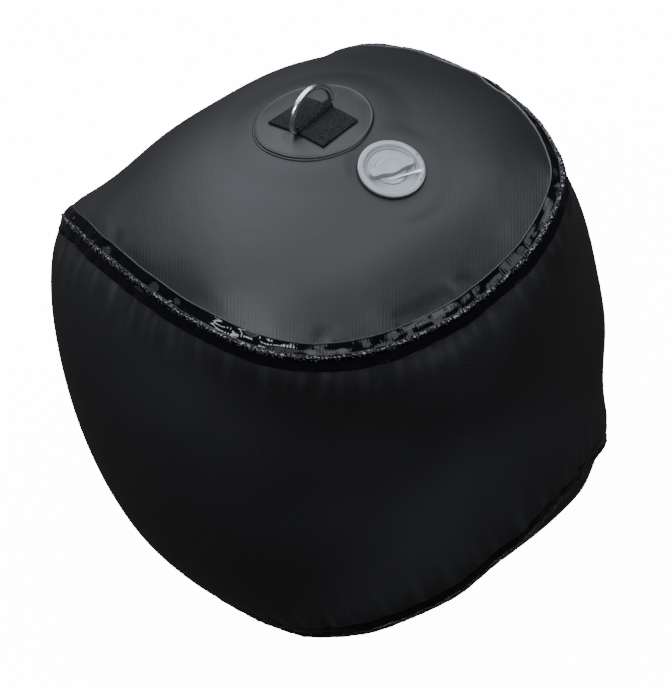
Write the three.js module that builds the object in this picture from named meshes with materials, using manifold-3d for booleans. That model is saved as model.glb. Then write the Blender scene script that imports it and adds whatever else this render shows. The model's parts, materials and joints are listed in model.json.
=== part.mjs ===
// Inflatable ball fender: two like fabric panels joined along one wavy seam and blown up, with a D-ring on a
// round patch and a push-to-deflate valve beside it. Millimetres, +Z up.
// The origin is on the axis of the D-ring's bar, at its middle: +Z points out of the ball, +Y along the bar
// and +X towards the valve.
import * as THREE from 'three';
import { mergeVertices } from 'three/addons/utils/BufferGeometryUtils.js';
import Module from 'manifold-3d';

const wasm = await Module();
wasm.setup();

// Fabric panel, laid flat. It is long, with a waist between two lobes.
const panelHalfLength = 700;
const panelHalfWaist = 119;
const panelLobe = 89;

// Net of threads that stands for the fabric while it is blown up.
const netSpokes = 72;
const netRings = 9;
const fabricTautness = 8.6;
const fabricSlackness = 0.02;
const settleSteps = 1500;

// Seam: tape folded over the ridge, and the small gathers beside it.
const tapeFlank = 14;
const tapeThickness = 0.9;
const ridgeHeight = 2.6;
const ridgeHalfWidth = 2.2;
const gatherDepth = 1.1;

// Clearances between neighbours.
const gap = 0.3;

// Where the fittings sit, as seen from above the lobe that carries them.
const anchorAlong = 54;
const anchorAside = 2;
const anchorTurnDeg = 11;
const normalSpan = 40;

// Anchor patch, two plies.
const patchRadius = 57;
const plyThickness = 0.9;
const lowerPlyMargin = 1;
const patchAlong = -2.7;
const patchAside = 2.8;
const lowerPlyShift = -1.2;

// Webbing strap over the D-ring's bar.
const strapWidth = 48;
const strapThickness = 1.8;
const strapTailBack = 32;
const strapTailFront = 35;
const strapStitchInset = 4;

// D-ring.
const ringWireRadius = 3;
const ringSideGap = 0.5;
const ringInnerHeight = 25;
const ringCornerRadius = 4;
const ringShoulder = 5;

// Valve body and gasket.
const flangeRadius = 31.5;
const flangeThickness = 2.3;
const lipHeight = 0.6;
const lipInset = 0.9;
const rimWidth = 5.1;
const bowlSlope = 3.8;
const bowlDepth = 5;
const bowlWall = 2.2;
const bowlFloorWidth = 7.1;
const collarWall = 3;
const collarLength = 12;
const valveToPatch = 5.2;
const gasketThickness = 1.5;
const gasketOverhang = 1;
const gasketWidth = 7;
const drainRadius = 0.8;
const drainAnglesDeg = [17, 75];

// Valve base inside the fabric.
const baseLength = 18;
const seatThickness = 2.5;
const seatLedge = 5;
const hubRadius = 4.2;
const hubLength = 4;
const ribCount = 3;
const ribWidth = 2.4;
const ribBite = 1;

// Plunger, spring and diaphragm.
const stemRadius = 2;
const buttonRadius = 7;
const buttonThickness = 2.5;
const buttonEdge = 0.6;
const buttonClearance = 2;
const diaphragmOverlap = 2.5;
const diaphragmThickness = 2;
const backingInset = 5;
const backingThickness = 1.9;
const pressTravel = 4;
const pocketClearance = 2;
const springCoils = 4;
const springWireRadius = 0.45;
const springRadius = 3.3;

// Cap with finger wings.
const capWall = 3.7;
const capTop = 1;
const capDeck = 2.6;
const skirtInset = 2;
const gripHeight = 8;
const wingClearance = 0.6;
const wingHalfWidth = 4.8;
const wingBulgeFar = 12.4;
const wingBulgeNear = 7;
const wingBulgeSpan = 15;
const wingEdge = 0.9;
const wingLift = 0.7;
const wingAngleDeg = 70;
const dimpleRadius = 8.5;
const dimpleDepth = 0.5;
const sealGroove = 2;
const sealHeight = 1.6;
const sealDrop = 1;

// Tether from the flange to the cap.
const tetherWidth = 2.6;
const tetherThickness = 0.9;
const tetherForkWidth = 6;
const tetherRootInset = 0.8;
const tetherRootDeg = 37;
const tetherBesideFrom = 3;
const tetherBesideTo = -8;
const tetherDrop = 3;

const deg = Math.PI / 180;
const turnedSegments = 36;
const overcut = 1;

function material(color, roughness, metalness = 0) {
  return new THREE.MeshStandardMaterial({ color, roughness, metalness });
}

const coatedFabric = material(0x16181b, 0.42);
const glossTape = material(0x0b0b0d, 0.12);
const patchFabric = material(0x191c20, 0.38);
const webbing = material(0x0d0d0e, 0.9);
const stainless = material(0xb9bbbd, 0.2, 1);
const greyPlastic = material(0xa9adb0, 0.45);
const blackRubber = material(0x101010, 0.6);
const paleStrap = material(0xe2e4e2, 0.35);

// Wraps a number into 0 .. n - 1.
function wrapped(k, n) {
  return ((k % n) + n) % n;
}

// A closed solid from points and triangles, turned so that its faces point out.
function solidFrom(points, triangles) {
  let volume = 0;
  for (const [a, b, c] of triangles) {
    volume += points[a].dot(new THREE.Vector3().crossVectors(points[b], points[c]));
  }
  const facing = volume < 0 ? triangles.map(([a, b, c]) => [a, c, b]) : triangles;
  const geometry = new THREE.BufferGeometry();
  geometry.setAttribute('position', new THREE.Float32BufferAttribute(points.flatMap((p) => p.toArray()), 3));
  geometry.setIndex(facing.flat());
  geometry.computeVertexNormals();
  return geometry;
}

// The merged points and triangles of any closed geometry.
function meshData(geometry) {
  const bare = geometry.clone();
  bare.deleteAttribute('normal');
  bare.deleteAttribute('uv');
  const merged = mergeVertices(bare, 1e-4);
  const position = merged.getAttribute('position');
  const points = [];
  for (let i = 0; i < position.count; i += 1) {
    points.push(new THREE.Vector3().fromBufferAttribute(position, i));
  }
  const index = merged.getIndex().array;
  const triangles = [];
  for (let i = 0; i < index.length; i += 3) {
    const [a, b, c] = [index[i], index[i + 1], index[i + 2]];
    if (a !== b && b !== c && c !== a) triangles.push([a, b, c]);
  }
  return { points, triangles };
}

function outward(geometry) {
  const { points, triangles } = meshData(geometry);
  return solidFrom(points, triangles);
}

function toManifold(geometry) {
  const { points, triangles } = meshData(outward(geometry));
  return new wasm.Manifold(new wasm.Mesh({
    numProp: 3,
    vertProperties: new Float32Array(points.flatMap((p) => p.toArray())),
    triVerts: new Uint32Array(triangles.flat()),
  }));
}

function fromManifold(solid) {
  const mesh = solid.getMesh();
  const geometry = new THREE.BufferGeometry();
  geometry.setAttribute('position', new THREE.BufferAttribute(new Float32Array(mesh.vertProperties), 3));
  geometry.setIndex(new THREE.BufferAttribute(new Uint32Array(mesh.triVerts), 1));
  geometry.computeVertexNormals();
  return geometry;
}

function joined(...geometries) {
  return fromManifold(geometries.map(toManifold).reduce((sum, next) => sum.add(next)));
}

function cut(geometry, ...cutters) {
  const whole = toManifold(geometry);
  return fromManifold(cutters.map(toManifold).reduce((rest, cutter) => rest.subtract(cutter), whole));
}

// A solid turned about +Z from [radius, height] pairs.
function turned(profile, segments = turnedSegments) {
  const geometry = new THREE.LatheGeometry(profile.map(([r, z]) => new THREE.Vector2(r, z)), segments);
  geometry.rotateX(Math.PI / 2);
  return outward(geometry);
}

// A flat washer from its inner and outer radius.
function washer(inner, outer, low, high) {
  return turned([[inner, low], [outer, low], [outer, high], [inner, high], [inner, low]]);
}

function disc(radius, low, high) {
  return turned([[0, low], [radius, low], [radius, high], [0, high]]);
}

// A solid swept through rows of points, either round a closed loop or with flat ends. From the side called
// turnedFrom on, the cells' diagonals run the other way.
function swept(rows, isLoop, turnedFrom = Infinity) {
  const sides = rows[0].length;
  const points = rows.flat();
  const triangles = [];
  const last = isLoop ? rows.length : rows.length - 1;
  for (let s = 0; s < last; s += 1) {
    const next = (s + 1) % rows.length;
    for (let j = 0; j < sides; j += 1) {
      const k = (j + 1) % sides;
      triangles.push(...cellFacets(
        s * sides + j,
        next * sides + j,
        next * sides + k,
        s * sides + k,
        j < turnedFrom,
      ));
    }
  }
  if (!isLoop) {
    const end = (rows.length - 1) * sides;
    for (let j = 1; j < sides - 1; j += 1) {
      triangles.push([0, j, j + 1]);
      triangles.push([end, end + j + 1, end + j]);
    }
  }
  return solidFrom(points, triangles);
}

// Points on the rim of one flat panel, at equal steps along it, from the tip of the lobe.
function panelRim() {
  const fineSteps = 40 * netSpokes;
  const fine = [];
  const run = [0];
  for (let i = 0; i <= fineSteps; i += 1) {
    const t = (i / fineSteps) * 2 * Math.PI;
    const x = panelHalfLength * Math.cos(t);
    const y = (panelHalfWaist + panelLobe) * Math.sin(t) + panelLobe * Math.sin(3 * t);
    fine.push(new THREE.Vector2(x, y));
    if (i > 0) run.push(run[i - 1] + fine[i].distanceTo(fine[i - 1]));
  }
  const rim = [];
  let at = 0;
  for (let k = 0; k < netSpokes; k += 1) {
    const wanted = (run[fineSteps] * k) / netSpokes;
    while (run[at + 1] < wanted) at += 1;
    rim.push(fine[at].clone().lerp(fine[at + 1], (wanted - run[at]) / (run[at + 1] - run[at])));
  }
  return rim;
}

// Index of a net point: ring 0 is the middle of the panel and the last ring is the rim, which both panels
// share. The second panel lies a quarter turn round, so its rim runs the other way.
const netInner = 1 + (netRings - 1) * netSpokes;
const netCount = 2 * netInner + netSpokes;

function netIndex(panel, ring, spoke) {
  if (ring === netRings) {
    const shared = panel === 0 ? spoke : netSpokes / 4 - spoke;
    return 2 * netInner + wrapped(shared, netSpokes);
  }
  const own = ring === 0 ? 0 : 1 + (ring - 1) * netSpokes + wrapped(spoke, netSpokes);
  return panel * netInner + own;
}

// Blows the two flat panels up. Threads only pull, air pushes each facet out, and the motion is stopped at
// each peak of its energy until it settles. The first panel is centred on +Z with its lobes on +X and -X.
function inflatedNet() {
  const rim = panelRim();
  const flat = (ring, spoke) => rim[wrapped(spoke, netSpokes)].clone().multiplyScalar(ring / netRings);
  const startRadius = panelHalfLength * 0.4;
  const net = Array.from({ length: netCount }, () => new THREE.Vector3());
  const threads = new Map();
  const facets = [];
  for (const panel of [0, 1]) {
    for (let ring = 0; ring <= netRings; ring += 1) {
      for (let spoke = 0; spoke < (ring === 0 ? 1 : netSpokes); spoke += 1) {
        const p = flat(ring, spoke).divideScalar(startRadius);
        const onBall = new THREE.Vector3(
          Math.sin(p.x) * Math.cos(p.y),
          Math.sin(p.y),
          Math.cos(p.x) * Math.cos(p.y),
        );
        if (panel === 1) onBall.set(onBall.y, onBall.x, -onBall.z);
        net[netIndex(panel, ring, spoke)].add(onBall);
      }
    }
    const tie = (ringA, spokeA, ringB, spokeB) => {
      const ends = [netIndex(panel, ringA, spokeA), netIndex(panel, ringB, spokeB)].sort((a, b) => a - b);
      const rest = flat(ringA, spokeA).distanceTo(flat(ringB, spokeB));
      threads.set(ends[0] * netCount + ends[1], [...ends, rest]);
    };
    for (let ring = 0; ring < netRings; ring += 1) {
      for (let spoke = 0; spoke < netSpokes; spoke += 1) {
        tie(ring, spoke, ring + 1, spoke);
        tie(ring + 1, spoke, ring + 1, spoke + 1);
        if (ring > 0) {
          tie(ring, spoke, ring + 1, spoke + 1);
          tie(ring + 1, spoke, ring, spoke + 1);
        }
        facets.push(...cellFacets(
          netIndex(panel, ring, spoke),
          netIndex(panel, ring + 1, spoke),
          netIndex(panel, ring + 1, spoke + 1),
          netIndex(panel, ring, spoke + 1),
          (ring + spoke) % 2 === 0,
        ));
      }
    }
  }
  const start = net.flatMap((p) => p.setLength(startRadius).toArray());
  const place = settled(Float64Array.from(start), [...threads.values()], facets);
  return net.map((p, i) => new THREE.Vector3().fromArray(place, 3 * i));
}

// Two triangles over a four-cornered cell, or one where two of its corners are the same point.
function cellFacets(a, b, c, d, flip) {
  if (a === d) return [[a, b, c]];
  return flip ? [[a, b, d], [b, c, d]] : [[a, b, c], [a, c, d]];
}

function settled(place, threads, facets) {
  const speed = new Float64Array(place.length);
  const force = new Float64Array(place.length);
  const springRate = 1;
  const airPressure = springRate / (fabricTautness * panelHalfLength);
  const timeStep = 0.7 * Math.sqrt(1 / (10 * springRate));
  let lastEnergy = 0;
  for (let step = 0; step < settleSteps; step += 1) {
    force.fill(0);
    for (const [i, j, rest] of threads) pull(place, force, 3 * i, 3 * j, rest, springRate);
    for (const [i, j, k] of facets) push(place, force, 3 * i, 3 * j, 3 * k, airPressure / 6);
    let energy = 0;
    for (let i = 0; i < place.length; i += 1) {
      speed[i] += force[i] * timeStep;
      energy += speed[i] * speed[i];
    }
    if (energy < lastEnergy) {
      speed.fill(0);
      energy = 0;
    }
    lastEnergy = energy;
    for (let i = 0; i < place.length; i += 1) place[i] += speed[i] * timeStep;
  }
  return place;
}

// One thread pulls its ends together, and hardly resists when it is slack.
function pull(place, force, a, b, rest, springRate) {
  const dx = place[b] - place[a];
  const dy = place[b + 1] - place[a + 1];
  const dz = place[b + 2] - place[a + 2];
  const length = Math.sqrt(dx * dx + dy * dy + dz * dz);
  const stretch = length > rest ? length - rest : (length - rest) * fabricSlackness;
  const share = (springRate * stretch) / length;
  force[a] += share * dx;
  force[a + 1] += share * dy;
  force[a + 2] += share * dz;
  force[b] -= share * dx;
  force[b + 1] -= share * dy;
  force[b + 2] -= share * dz;
}

// Air pushes one facet out along its normal, by its area.
function push(place, force, a, b, c, share) {
  const ux = place[b] - place[a];
  const uy = place[b + 1] - place[a + 1];
  const uz = place[b + 2] - place[a + 2];
  const vx = place[c] - place[a];
  const vy = place[c + 1] - place[a + 1];
  const vz = place[c + 2] - place[a + 2];
  const nx = (uy * vz - uz * vy) * share;
  const ny = (uz * vx - ux * vz) * share;
  const nz = (ux * vy - uy * vx) * share;
  for (const p of [a, b, c]) {
    force[p] += nx;
    force[p + 1] += ny;
    force[p + 2] += nz;
  }
}

// The point midway between the middle two of four points on a smooth curve.
function between(before, from, to, after) {
  return from.clone().add(to).multiplyScalar(9 / 16).sub(before.clone().add(after).multiplyScalar(1 / 16));
}

// The bladder's skin as points and triangles: each panel's net with a row added between its rings, twice as
// many points round the rim, and a row under the tape's edge, pushed in and out by turns as gathers. It
// returns the rim and the tape's edges too, all in step round the seam.
function bladderSkin(net) {
  const points = [];
  const triangles = [];
  const add = (p) => points.push(p) - 1;
  const rimCount = 2 * netSpokes;
  const netPoint = (panel, ring, spoke) => net[netIndex(panel, ring, spoke)];
  const rim = [];
  for (let m = 0; m < rimCount; m += 1) {
    const k = Math.floor(m / 2);
    const [before, from, to, after] = [-1, 0, 1, 2].map((step) => netPoint(0, netRings, k + step));
    rim.push(m % 2 === 0 ? from.clone() : between(before, from, to, after));
  }
  const rimIds = rim.map(add);
  const edges = [];
  for (const panel of [0, 1]) {
    const rowPoint = (row, spoke) => {
      const ring = Math.floor(row / 2);
      if (row % 2 === 0) return netPoint(panel, ring, spoke).clone();
      const across = ring === 0 ? [1, spoke + netSpokes / 2] : [ring - 1, spoke];
      const [from, to, after] = [0, 1, 2].map((step) => netPoint(panel, ring + step, spoke));
      return between(netPoint(panel, ...across), from, to, after);
    };
    const lastRow = 2 * netRings - 2;
    const rows = [];
    for (let row = 0; row <= lastRow; row += 1) {
      const ids = [];
      const count = row === 0 ? 1 : netSpokes;
      for (let spoke = 0; spoke < count; spoke += 1) ids.push(add(rowPoint(row, spoke)));
      rows.push(ids);
    }
    const rowId = (row, spoke) => rows[row][row === 0 ? 0 : wrapped(spoke, netSpokes)];
    for (let row = 0; row < lastRow; row += 1) {
      for (let spoke = 0; spoke < netSpokes; spoke += 1) {
        const flip = (row + spoke) % 2 === 0;
        triangles.push(...cellFacets(
          rowId(row, spoke),
          rowId(row + 1, spoke),
          rowId(row + 1, spoke + 1),
          rowId(row, spoke + 1),
          flip,
        ));
      }
    }
    const onRim = (m) => wrapped(panel === 0 ? m : netSpokes / 2 - m, rimCount);
    const edge = [];
    for (let m = 0; m < rimCount; m += 1) {
      const k = Math.floor(m / 2);
      const inner = points[rowId(lastRow, k)].clone().lerp(points[rowId(lastRow, k + (m % 2))], 0.5);
      const inward = inner.sub(rim[onRim(m)]).normalize();
      const along = rim[onRim(m + 1)].clone().sub(rim[onRim(m - 1)]);
      const normal = along.cross(inward).normalize();
      const wave = (m % 2 === 0 ? 1 : -1) * gatherDepth;
      const place = rim[onRim(m)].clone().addScaledVector(inward, tapeFlank).addScaledVector(normal, wave);
      edge.push({ place, normal, id: add(place) });
    }
    for (let m = 0; m < rimCount; m += 1) {
      const next = (m + 1) % rimCount;
      const outer = [rimIds[onRim(m)], rimIds[onRim(m + 1)]];
      triangles.push([outer[0], outer[1], edge[next].id], [outer[0], edge[next].id, edge[m].id]);
      const k = Math.floor(m / 2);
      const inner = [rowId(lastRow, k), rowId(lastRow, k + 1)];
      triangles.push([edge[m].id, edge[next].id, inner[m % 2]]);
      if (m % 2 === 0) triangles.push([inner[0], edge[next].id, inner[1]]);
    }
    edges.push(rim.map((p, m) => edge[onRim(m)]));
  }
  return { points, triangles, rim, edges };
}

// The seam tape: a strip that lies on both panels and folds over the ridge. Its upper facets follow the lower
// ones, so that it keeps its thickness.
function seamTape({ rim, edges }) {
  const rows = rim.map((ridge, m) => {
    const [first, second] = edges.map((edge) => edge[m]);
    const up = first.normal.clone().add(second.normal).normalize();
    const spread = 1 / up.dot(first.normal);
    const off = (side, height) => side.place.clone().addScaledVector(side.normal, height);
    const foot = (side) => {
      const inward = side.place.clone().sub(ridge).setLength(ridgeHalfWidth);
      return ridge.clone().add(inward).addScaledVector(side.normal, gap + tapeThickness);
    };
    return [
      off(first, gap),
      ridge.clone().addScaledVector(up, gap * spread),
      off(second, gap),
      off(second, gap + tapeThickness),
      foot(second),
      ridge.clone().addScaledVector(up, gap + ridgeHeight),
      foot(first),
      off(first, gap + tapeThickness),
    ];
  });
  const firstUpperSide = 3;
  return swept(rows, true, firstUpperSide);
}

// Height of a skin over a point of the XY plane of a frame, for skins given in that frame.
function heightOver({ points, triangles }, x, y) {
  let top = -Infinity;
  for (const [ia, ib, ic] of triangles) {
    const [a, b, c] = [points[ia], points[ib], points[ic]];
    const area = (b.x - a.x) * (c.y - a.y) - (c.x - a.x) * (b.y - a.y);
    if (area <= 0) continue;
    const v = ((x - a.x) * (c.y - a.y) - (c.x - a.x) * (y - a.y)) / area;
    const w = ((b.x - a.x) * (y - a.y) - (x - a.x) * (b.y - a.y)) / area;
    if (v < 0 || w < 0 || v + w > 1) continue;
    top = Math.max(top, a.z + v * (b.z - a.z) + w * (c.z - a.z));
  }
  return top;
}

function inFrame(skin, frame) {
  const inverse = frame.clone().invert();
  return { points: skin.points.map((p) => p.clone().applyMatrix4(inverse)), triangles: skin.triangles };
}

// A frame that sits on the skin over x, y, with its Z out of the skin and its X turned from the XZ plane.
function frameOn(skin, x, y, turnDeg) {
  const [east, west, north, south] = [[1, 0], [-1, 0], [0, 1], [0, -1]].map(
    ([i, j]) => heightOver(skin, x + i * normalSpan, y + j * normalSpan),
  );
  const zAxis = new THREE.Vector3(west - east, south - north, 2 * normalSpan).normalize();
  const yAxis = zAxis.clone().cross(new THREE.Vector3(1, 0, 0)).normalize();
  const xAxis = yAxis.clone().cross(zAxis);
  const origin = new THREE.Vector3(x, y, heightOver(skin, x, y));
  const level = new THREE.Matrix4().makeBasis(xAxis, yAxis, zAxis).setPosition(origin);
  return level.multiply(new THREE.Matrix4().makeRotationZ(turnDeg * deg));
}

// A smooth seat that lies on a skin within a reach of the frame's origin, touching it from outside.
function seatOn(skin, reach) {
  const [middle, east, west, north, south] = [[0, 0], [1, 0], [-1, 0], [0, 1], [0, -1]].map(
    ([i, j]) => heightOver(skin, i * reach, j * reach),
  );
  const tilt = [(east - west) / (2 * reach), (north - south) / (2 * reach)];
  const bend = [2 * middle - east - west, 2 * middle - north - south].map((rise) => rise / (2 * reach ** 2));
  const shape = (x, y) => middle + tilt[0] * x + tilt[1] * y - bend[0] * x * x - bend[1] * y * y;
  const proud = skin.points
    .filter((p) => Math.hypot(p.x, p.y) < reach * 1.25 && p.z > middle - reach)
    .map((p) => p.z - shape(p.x, p.y));
  const raise = Math.max(0, ...proud);
  return (x, y) => shape(x, y) + raise;
}

// A round ply laid over a seat.
function ply(seat, radius, middle, bottom, thickness) {
  const rings = 4;
  const segments = 36;
  const points = [];
  const triangles = [];
  const id = (layer, ring, k) => {
    const own = ring === 0 ? 0 : 1 + (ring - 1) * segments + wrapped(k, segments);
    return layer * (1 + rings * segments) + own;
  };
  for (const layer of [0, 1]) {
    for (let ring = 0; ring <= rings; ring += 1) {
      for (let k = 0; k < (ring === 0 ? 1 : segments); k += 1) {
        const angle = (k / segments) * 2 * Math.PI;
        const x = middle[0] + (radius * ring * Math.cos(angle)) / rings;
        const y = middle[1] + (radius * ring * Math.sin(angle)) / rings;
        points.push(new THREE.Vector3(x, y, seat(x, y) + bottom + layer * thickness));
      }
    }
  }
  for (let k = 0; k < segments; k += 1) {
    for (let ring = 0; ring < rings; ring += 1) {
      const [under, top] = [0, 1].map((layer) => cellFacets(
        id(layer, ring, k),
        id(layer, ring + 1, k),
        id(layer, ring + 1, k + 1),
        id(layer, ring, k + 1),
        false,
      ));
      triangles.push(...top, ...under.map(([a, b, c]) => [a, c, b]));
    }
    triangles.push([id(0, rings, k), id(0, rings, k + 1), id(1, rings, k + 1)]);
    triangles.push([id(0, rings, k), id(1, rings, k + 1), id(1, rings, k)]);
  }
  return solidFrom(points, triangles);
}

// The webbing strap: two tails that follow the seat and a straight sleeve over the bar at the origin.
function webbingStrap(seat, bottom) {
  const inner = ringWireRadius + gap;
  const outer = inner + strapThickness;
  const low = seat(0, 0) + bottom;
  const stitchLine = outer + strapStitchInset;
  const stations = [];
  const tail = (x) => stations.push({ x: [x, x], z: [low, low + strapThickness], drape: true });
  const foot = (side) => stations.push({
    x: [side * inner, side * (outer + strapThickness / 2)],
    z: [low, low + strapThickness],
    drape: true,
  });
  for (const x of [-strapTailBack, -(strapTailBack + stitchLine) / 2, -stitchLine]) tail(x);
  foot(-1);
  const archSteps = 6;
  for (let i = 0; i <= archSteps; i += 1) {
    const angle = Math.PI * (1 - i / archSteps);
    stations.push({
      x: [inner * Math.cos(angle), outer * Math.cos(angle)],
      z: [inner * Math.sin(angle), outer * Math.sin(angle)],
      drape: false,
    });
  }
  foot(1);
  for (const x of [stitchLine, (strapTailFront + stitchLine) / 2, strapTailFront]) tail(x);
  const lanes = 4;
  const points = [];
  const id = (layer, i, j) => (layer * stations.length + i) * (lanes + 1) + j;
  for (const layer of [0, 1]) {
    for (const station of stations) {
      for (let j = 0; j <= lanes; j += 1) {
        const x = station.x[layer];
        const y = strapWidth * (j / lanes - 0.5);
        const sink = station.drape ? seat(x, y) - seat(0, 0) : 0;
        points.push(new THREE.Vector3(x, y, station.z[layer] + sink));
      }
    }
  }
  const triangles = [];
  const quad = (a, b, c, d) => triangles.push([a, b, c], [a, c, d]);
  for (let i = 0; i < stations.length - 1; i += 1) {
    for (let j = 0; j < lanes; j += 1) {
      quad(id(1, i, j), id(1, i + 1, j), id(1, i + 1, j + 1), id(1, i, j + 1));
      quad(id(0, i, j), id(0, i, j + 1), id(0, i + 1, j + 1), id(0, i + 1, j));
    }
    quad(id(0, i, 0), id(0, i + 1, 0), id(1, i + 1, 0), id(1, i, 0));
    quad(id(0, i, lanes), id(1, i, lanes), id(1, i + 1, lanes), id(0, i + 1, lanes));
  }
  const end = stations.length - 1;
  for (let j = 0; j < lanes; j += 1) {
    quad(id(0, 0, j), id(1, 0, j), id(1, 0, j + 1), id(0, 0, j + 1));
    quad(id(0, end, j), id(0, end, j + 1), id(1, end, j + 1), id(1, end, j));
  }
  return solidFrom(points, triangles);
}

// The D-ring, upright in the YZ plane with its bar along Y through the origin.
function dRing() {
  const half = strapWidth / 2 + ringSideGap + ringWireRadius;
  const crown = ringInnerHeight + 2 * ringWireRadius;
  const path = [];
  const corner = (side) => {
    const steps = 4;
    for (let i = 0; i <= steps; i += 1) {
      const angle = (i / steps) * (Math.PI / 2);
      const turn = side > 0 ? angle : Math.PI / 2 - angle;
      path.push([
        side * (half - ringCornerRadius + ringCornerRadius * Math.sin(turn)),
        ringCornerRadius * (1 - Math.cos(turn)),
      ]);
    }
  };
  corner(1);
  const bowSteps = 20;
  for (let i = 0; i <= bowSteps; i += 1) {
    const angle = (i / bowSteps) * Math.PI;
    path.push([half * Math.cos(angle), ringShoulder + (crown - ringShoulder) * Math.sin(angle)]);
  }
  corner(-1);
  const wireSides = 10;
  const rows = path.map(([y, z], i) => {
    const before = path[wrapped(i - 1, path.length)];
    const after = path[(i + 1) % path.length];
    const along = new THREE.Vector2(after[0] - before[0], after[1] - before[1]).normalize();
    const row = [];
    for (let j = 0; j < wireSides; j += 1) {
      const angle = (j / wireSides) * 2 * Math.PI;
      const aside = ringWireRadius * Math.cos(angle);
      row.push(new THREE.Vector3(ringWireRadius * Math.sin(angle), y - along.y * aside, z + along.x * aside));
    }
    return row;
  });
  return swept(rows, true);
}

// Sizes in the valve that follow from those above. Heights are from the flattened fabric under its flange.
const flangeUnder = gap + gasketThickness + gap;
const flangeTop = flangeUnder + flangeThickness;
const lipTop = flangeTop + lipHeight;
const bowlFloor = lipTop - bowlDepth;
const gasketRadius = flangeRadius + gasketOverhang;
const lipRadius = flangeRadius - lipInset;
const bowlMouthRadius = flangeRadius - rimWidth;
const bowlFloorRadius = bowlMouthRadius - bowlSlope;
const boreRadius = bowlFloorRadius - bowlFloorWidth;
const seatRadius = boreRadius - seatLedge;
const bowlUnder = bowlFloor - bowlWall;
const collarRadius = boreRadius + collarWall;
const collarEnd = bowlFloor - collarLength;
const baseTop = bowlUnder - gap;
const seatTop = baseTop - baseLength + seatThickness;
const seatUnder = seatTop - seatThickness;
const hubTop = seatTop + hubLength - seatThickness;
const neckRadius = bowlMouthRadius - bowlWall;
const baseRadius = neckRadius - gap;
const socketRadius = collarRadius + gap;
const diaphragmTop = seatUnder - gap;
const diaphragmUnder = diaphragmTop - diaphragmThickness;
const backingTop = diaphragmUnder - gap;
const backingUnder = backingTop - backingThickness;
const stemHoleRadius = stemRadius + gap;
const diaphragmRadius = seatRadius + diaphragmOverlap;
const backingRadius = diaphragmRadius - backingInset;
const capDeckUnder = bowlFloor + capTop - capDeck;
const pocketFloor = backingUnder - pressTravel - pocketClearance;
const buttonTop = capDeckUnder - buttonClearance;
const buttonUnder = buttonTop - buttonThickness;
const stemTop = buttonUnder + buttonThickness / 2;
const capRadius = boreRadius - gap;
const skirtUnder = collarEnd + skirtInset;
const grooveTop = capDeckUnder - sealDrop;
const grooveRadius = capRadius - sealGroove;
const wingReach = bowlFloorRadius - wingClearance;
const wingTop = bowlFloor + gripHeight;

function valveGasket() {
  return washer(gasketRadius - gasketWidth, gasketRadius, gap, gap + gasketThickness);
}

function valveBody() {
  const shell = turned([
    [flangeRadius, flangeUnder],
    [flangeRadius, flangeTop],
    [lipRadius, flangeTop],
    [lipRadius - lipHeight, lipTop],
    [bowlMouthRadius, lipTop],
    [bowlFloorRadius, bowlFloor],
    [boreRadius, bowlFloor],
    [boreRadius, collarEnd],
    [collarRadius, collarEnd],
    [collarRadius, bowlUnder],
    [bowlFloorRadius, bowlUnder],
    [baseRadius - gap, flangeUnder],
    [flangeRadius, flangeUnder],
  ]);
  const drains = drainAnglesDeg.map((angle) => {
    const hole = new THREE.CylinderGeometry(drainRadius, drainRadius, 2 * bowlDepth, 8);
    const reach = flangeRadius - rimWidth / 2;
    hole.rotateX(Math.PI / 2);
    hole.translate(reach * Math.cos(angle * deg), reach * Math.sin(angle * deg), flangeTop);
    return hole;
  });
  return cut(shell, ...drains);
}

function valveBase() {
  const housing = turned([
    [baseRadius, baseTop],
    [socketRadius, baseTop],
    [socketRadius, collarEnd - gap],
    [boreRadius, collarEnd - gap],
    [boreRadius, seatTop],
    [seatRadius, seatTop],
    [seatRadius, seatUnder],
    [baseRadius, seatUnder],
    [baseRadius, baseTop],
  ]);
  const hub = disc(hubRadius, seatTop - seatThickness / 2, hubTop);
  const ribs = [];
  for (let i = 0; i < ribCount; i += 1) {
    const reach = seatRadius + ribBite;
    const rib = new THREE.BoxGeometry(reach, ribWidth, seatThickness / 2);
    rib.translate(reach / 2, 0, seatTop - seatThickness / 4);
    rib.rotateZ((i / ribCount) * 2 * Math.PI);
    ribs.push(rib);
  }
  return cut(joined(housing, hub, ...ribs), disc(stemHoleRadius, seatUnder - overcut, hubTop + overcut));
}

function valvePlunger() {
  return turned([
    [0, backingUnder],
    [backingRadius, backingUnder],
    [backingRadius, backingTop],
    [stemRadius, backingTop],
    [stemRadius, stemTop],
    [0, stemTop],
  ], 24);
}

function plungerButton() {
  return turned([
    [stemHoleRadius, buttonUnder],
    [buttonRadius, buttonUnder],
    [buttonRadius, buttonTop - buttonEdge],
    [buttonRadius - buttonEdge, buttonTop],
    [0, buttonTop],
    [0, stemTop + gap],
    [stemHoleRadius, stemTop + gap],
    [stemHoleRadius, buttonUnder],
  ], 24);
}

function valveDiaphragm() {
  return washer(stemHoleRadius, diaphragmRadius, diaphragmUnder, diaphragmTop);
}

function valveSpring() {
  const low = hubTop + gap + springWireRadius;
  const high = buttonUnder - gap - springWireRadius;
  const stepsPerCoil = 12;
  const steps = springCoils * stepsPerCoil;
  const wireSides = 6;
  const rows = [];
  for (let i = 0; i <= steps; i += 1) {
    const turn = (i / stepsPerCoil) * 2 * Math.PI;
    const out = new THREE.Vector3(Math.cos(turn), Math.sin(turn), 0);
    const middle = out.clone().multiplyScalar(springRadius).setZ(low + ((high - low) * i) / steps);
    const row = [];
    for (let j = 0; j < wireSides; j += 1) {
      const angle = (j / wireSides) * 2 * Math.PI;
      const p = middle.clone().addScaledVector(out, springWireRadius * Math.cos(angle));
      row.push(p.setZ(p.z + springWireRadius * Math.sin(angle)));
    }
    rows.push(row);
  }
  return swept(rows, false);
}

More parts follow.
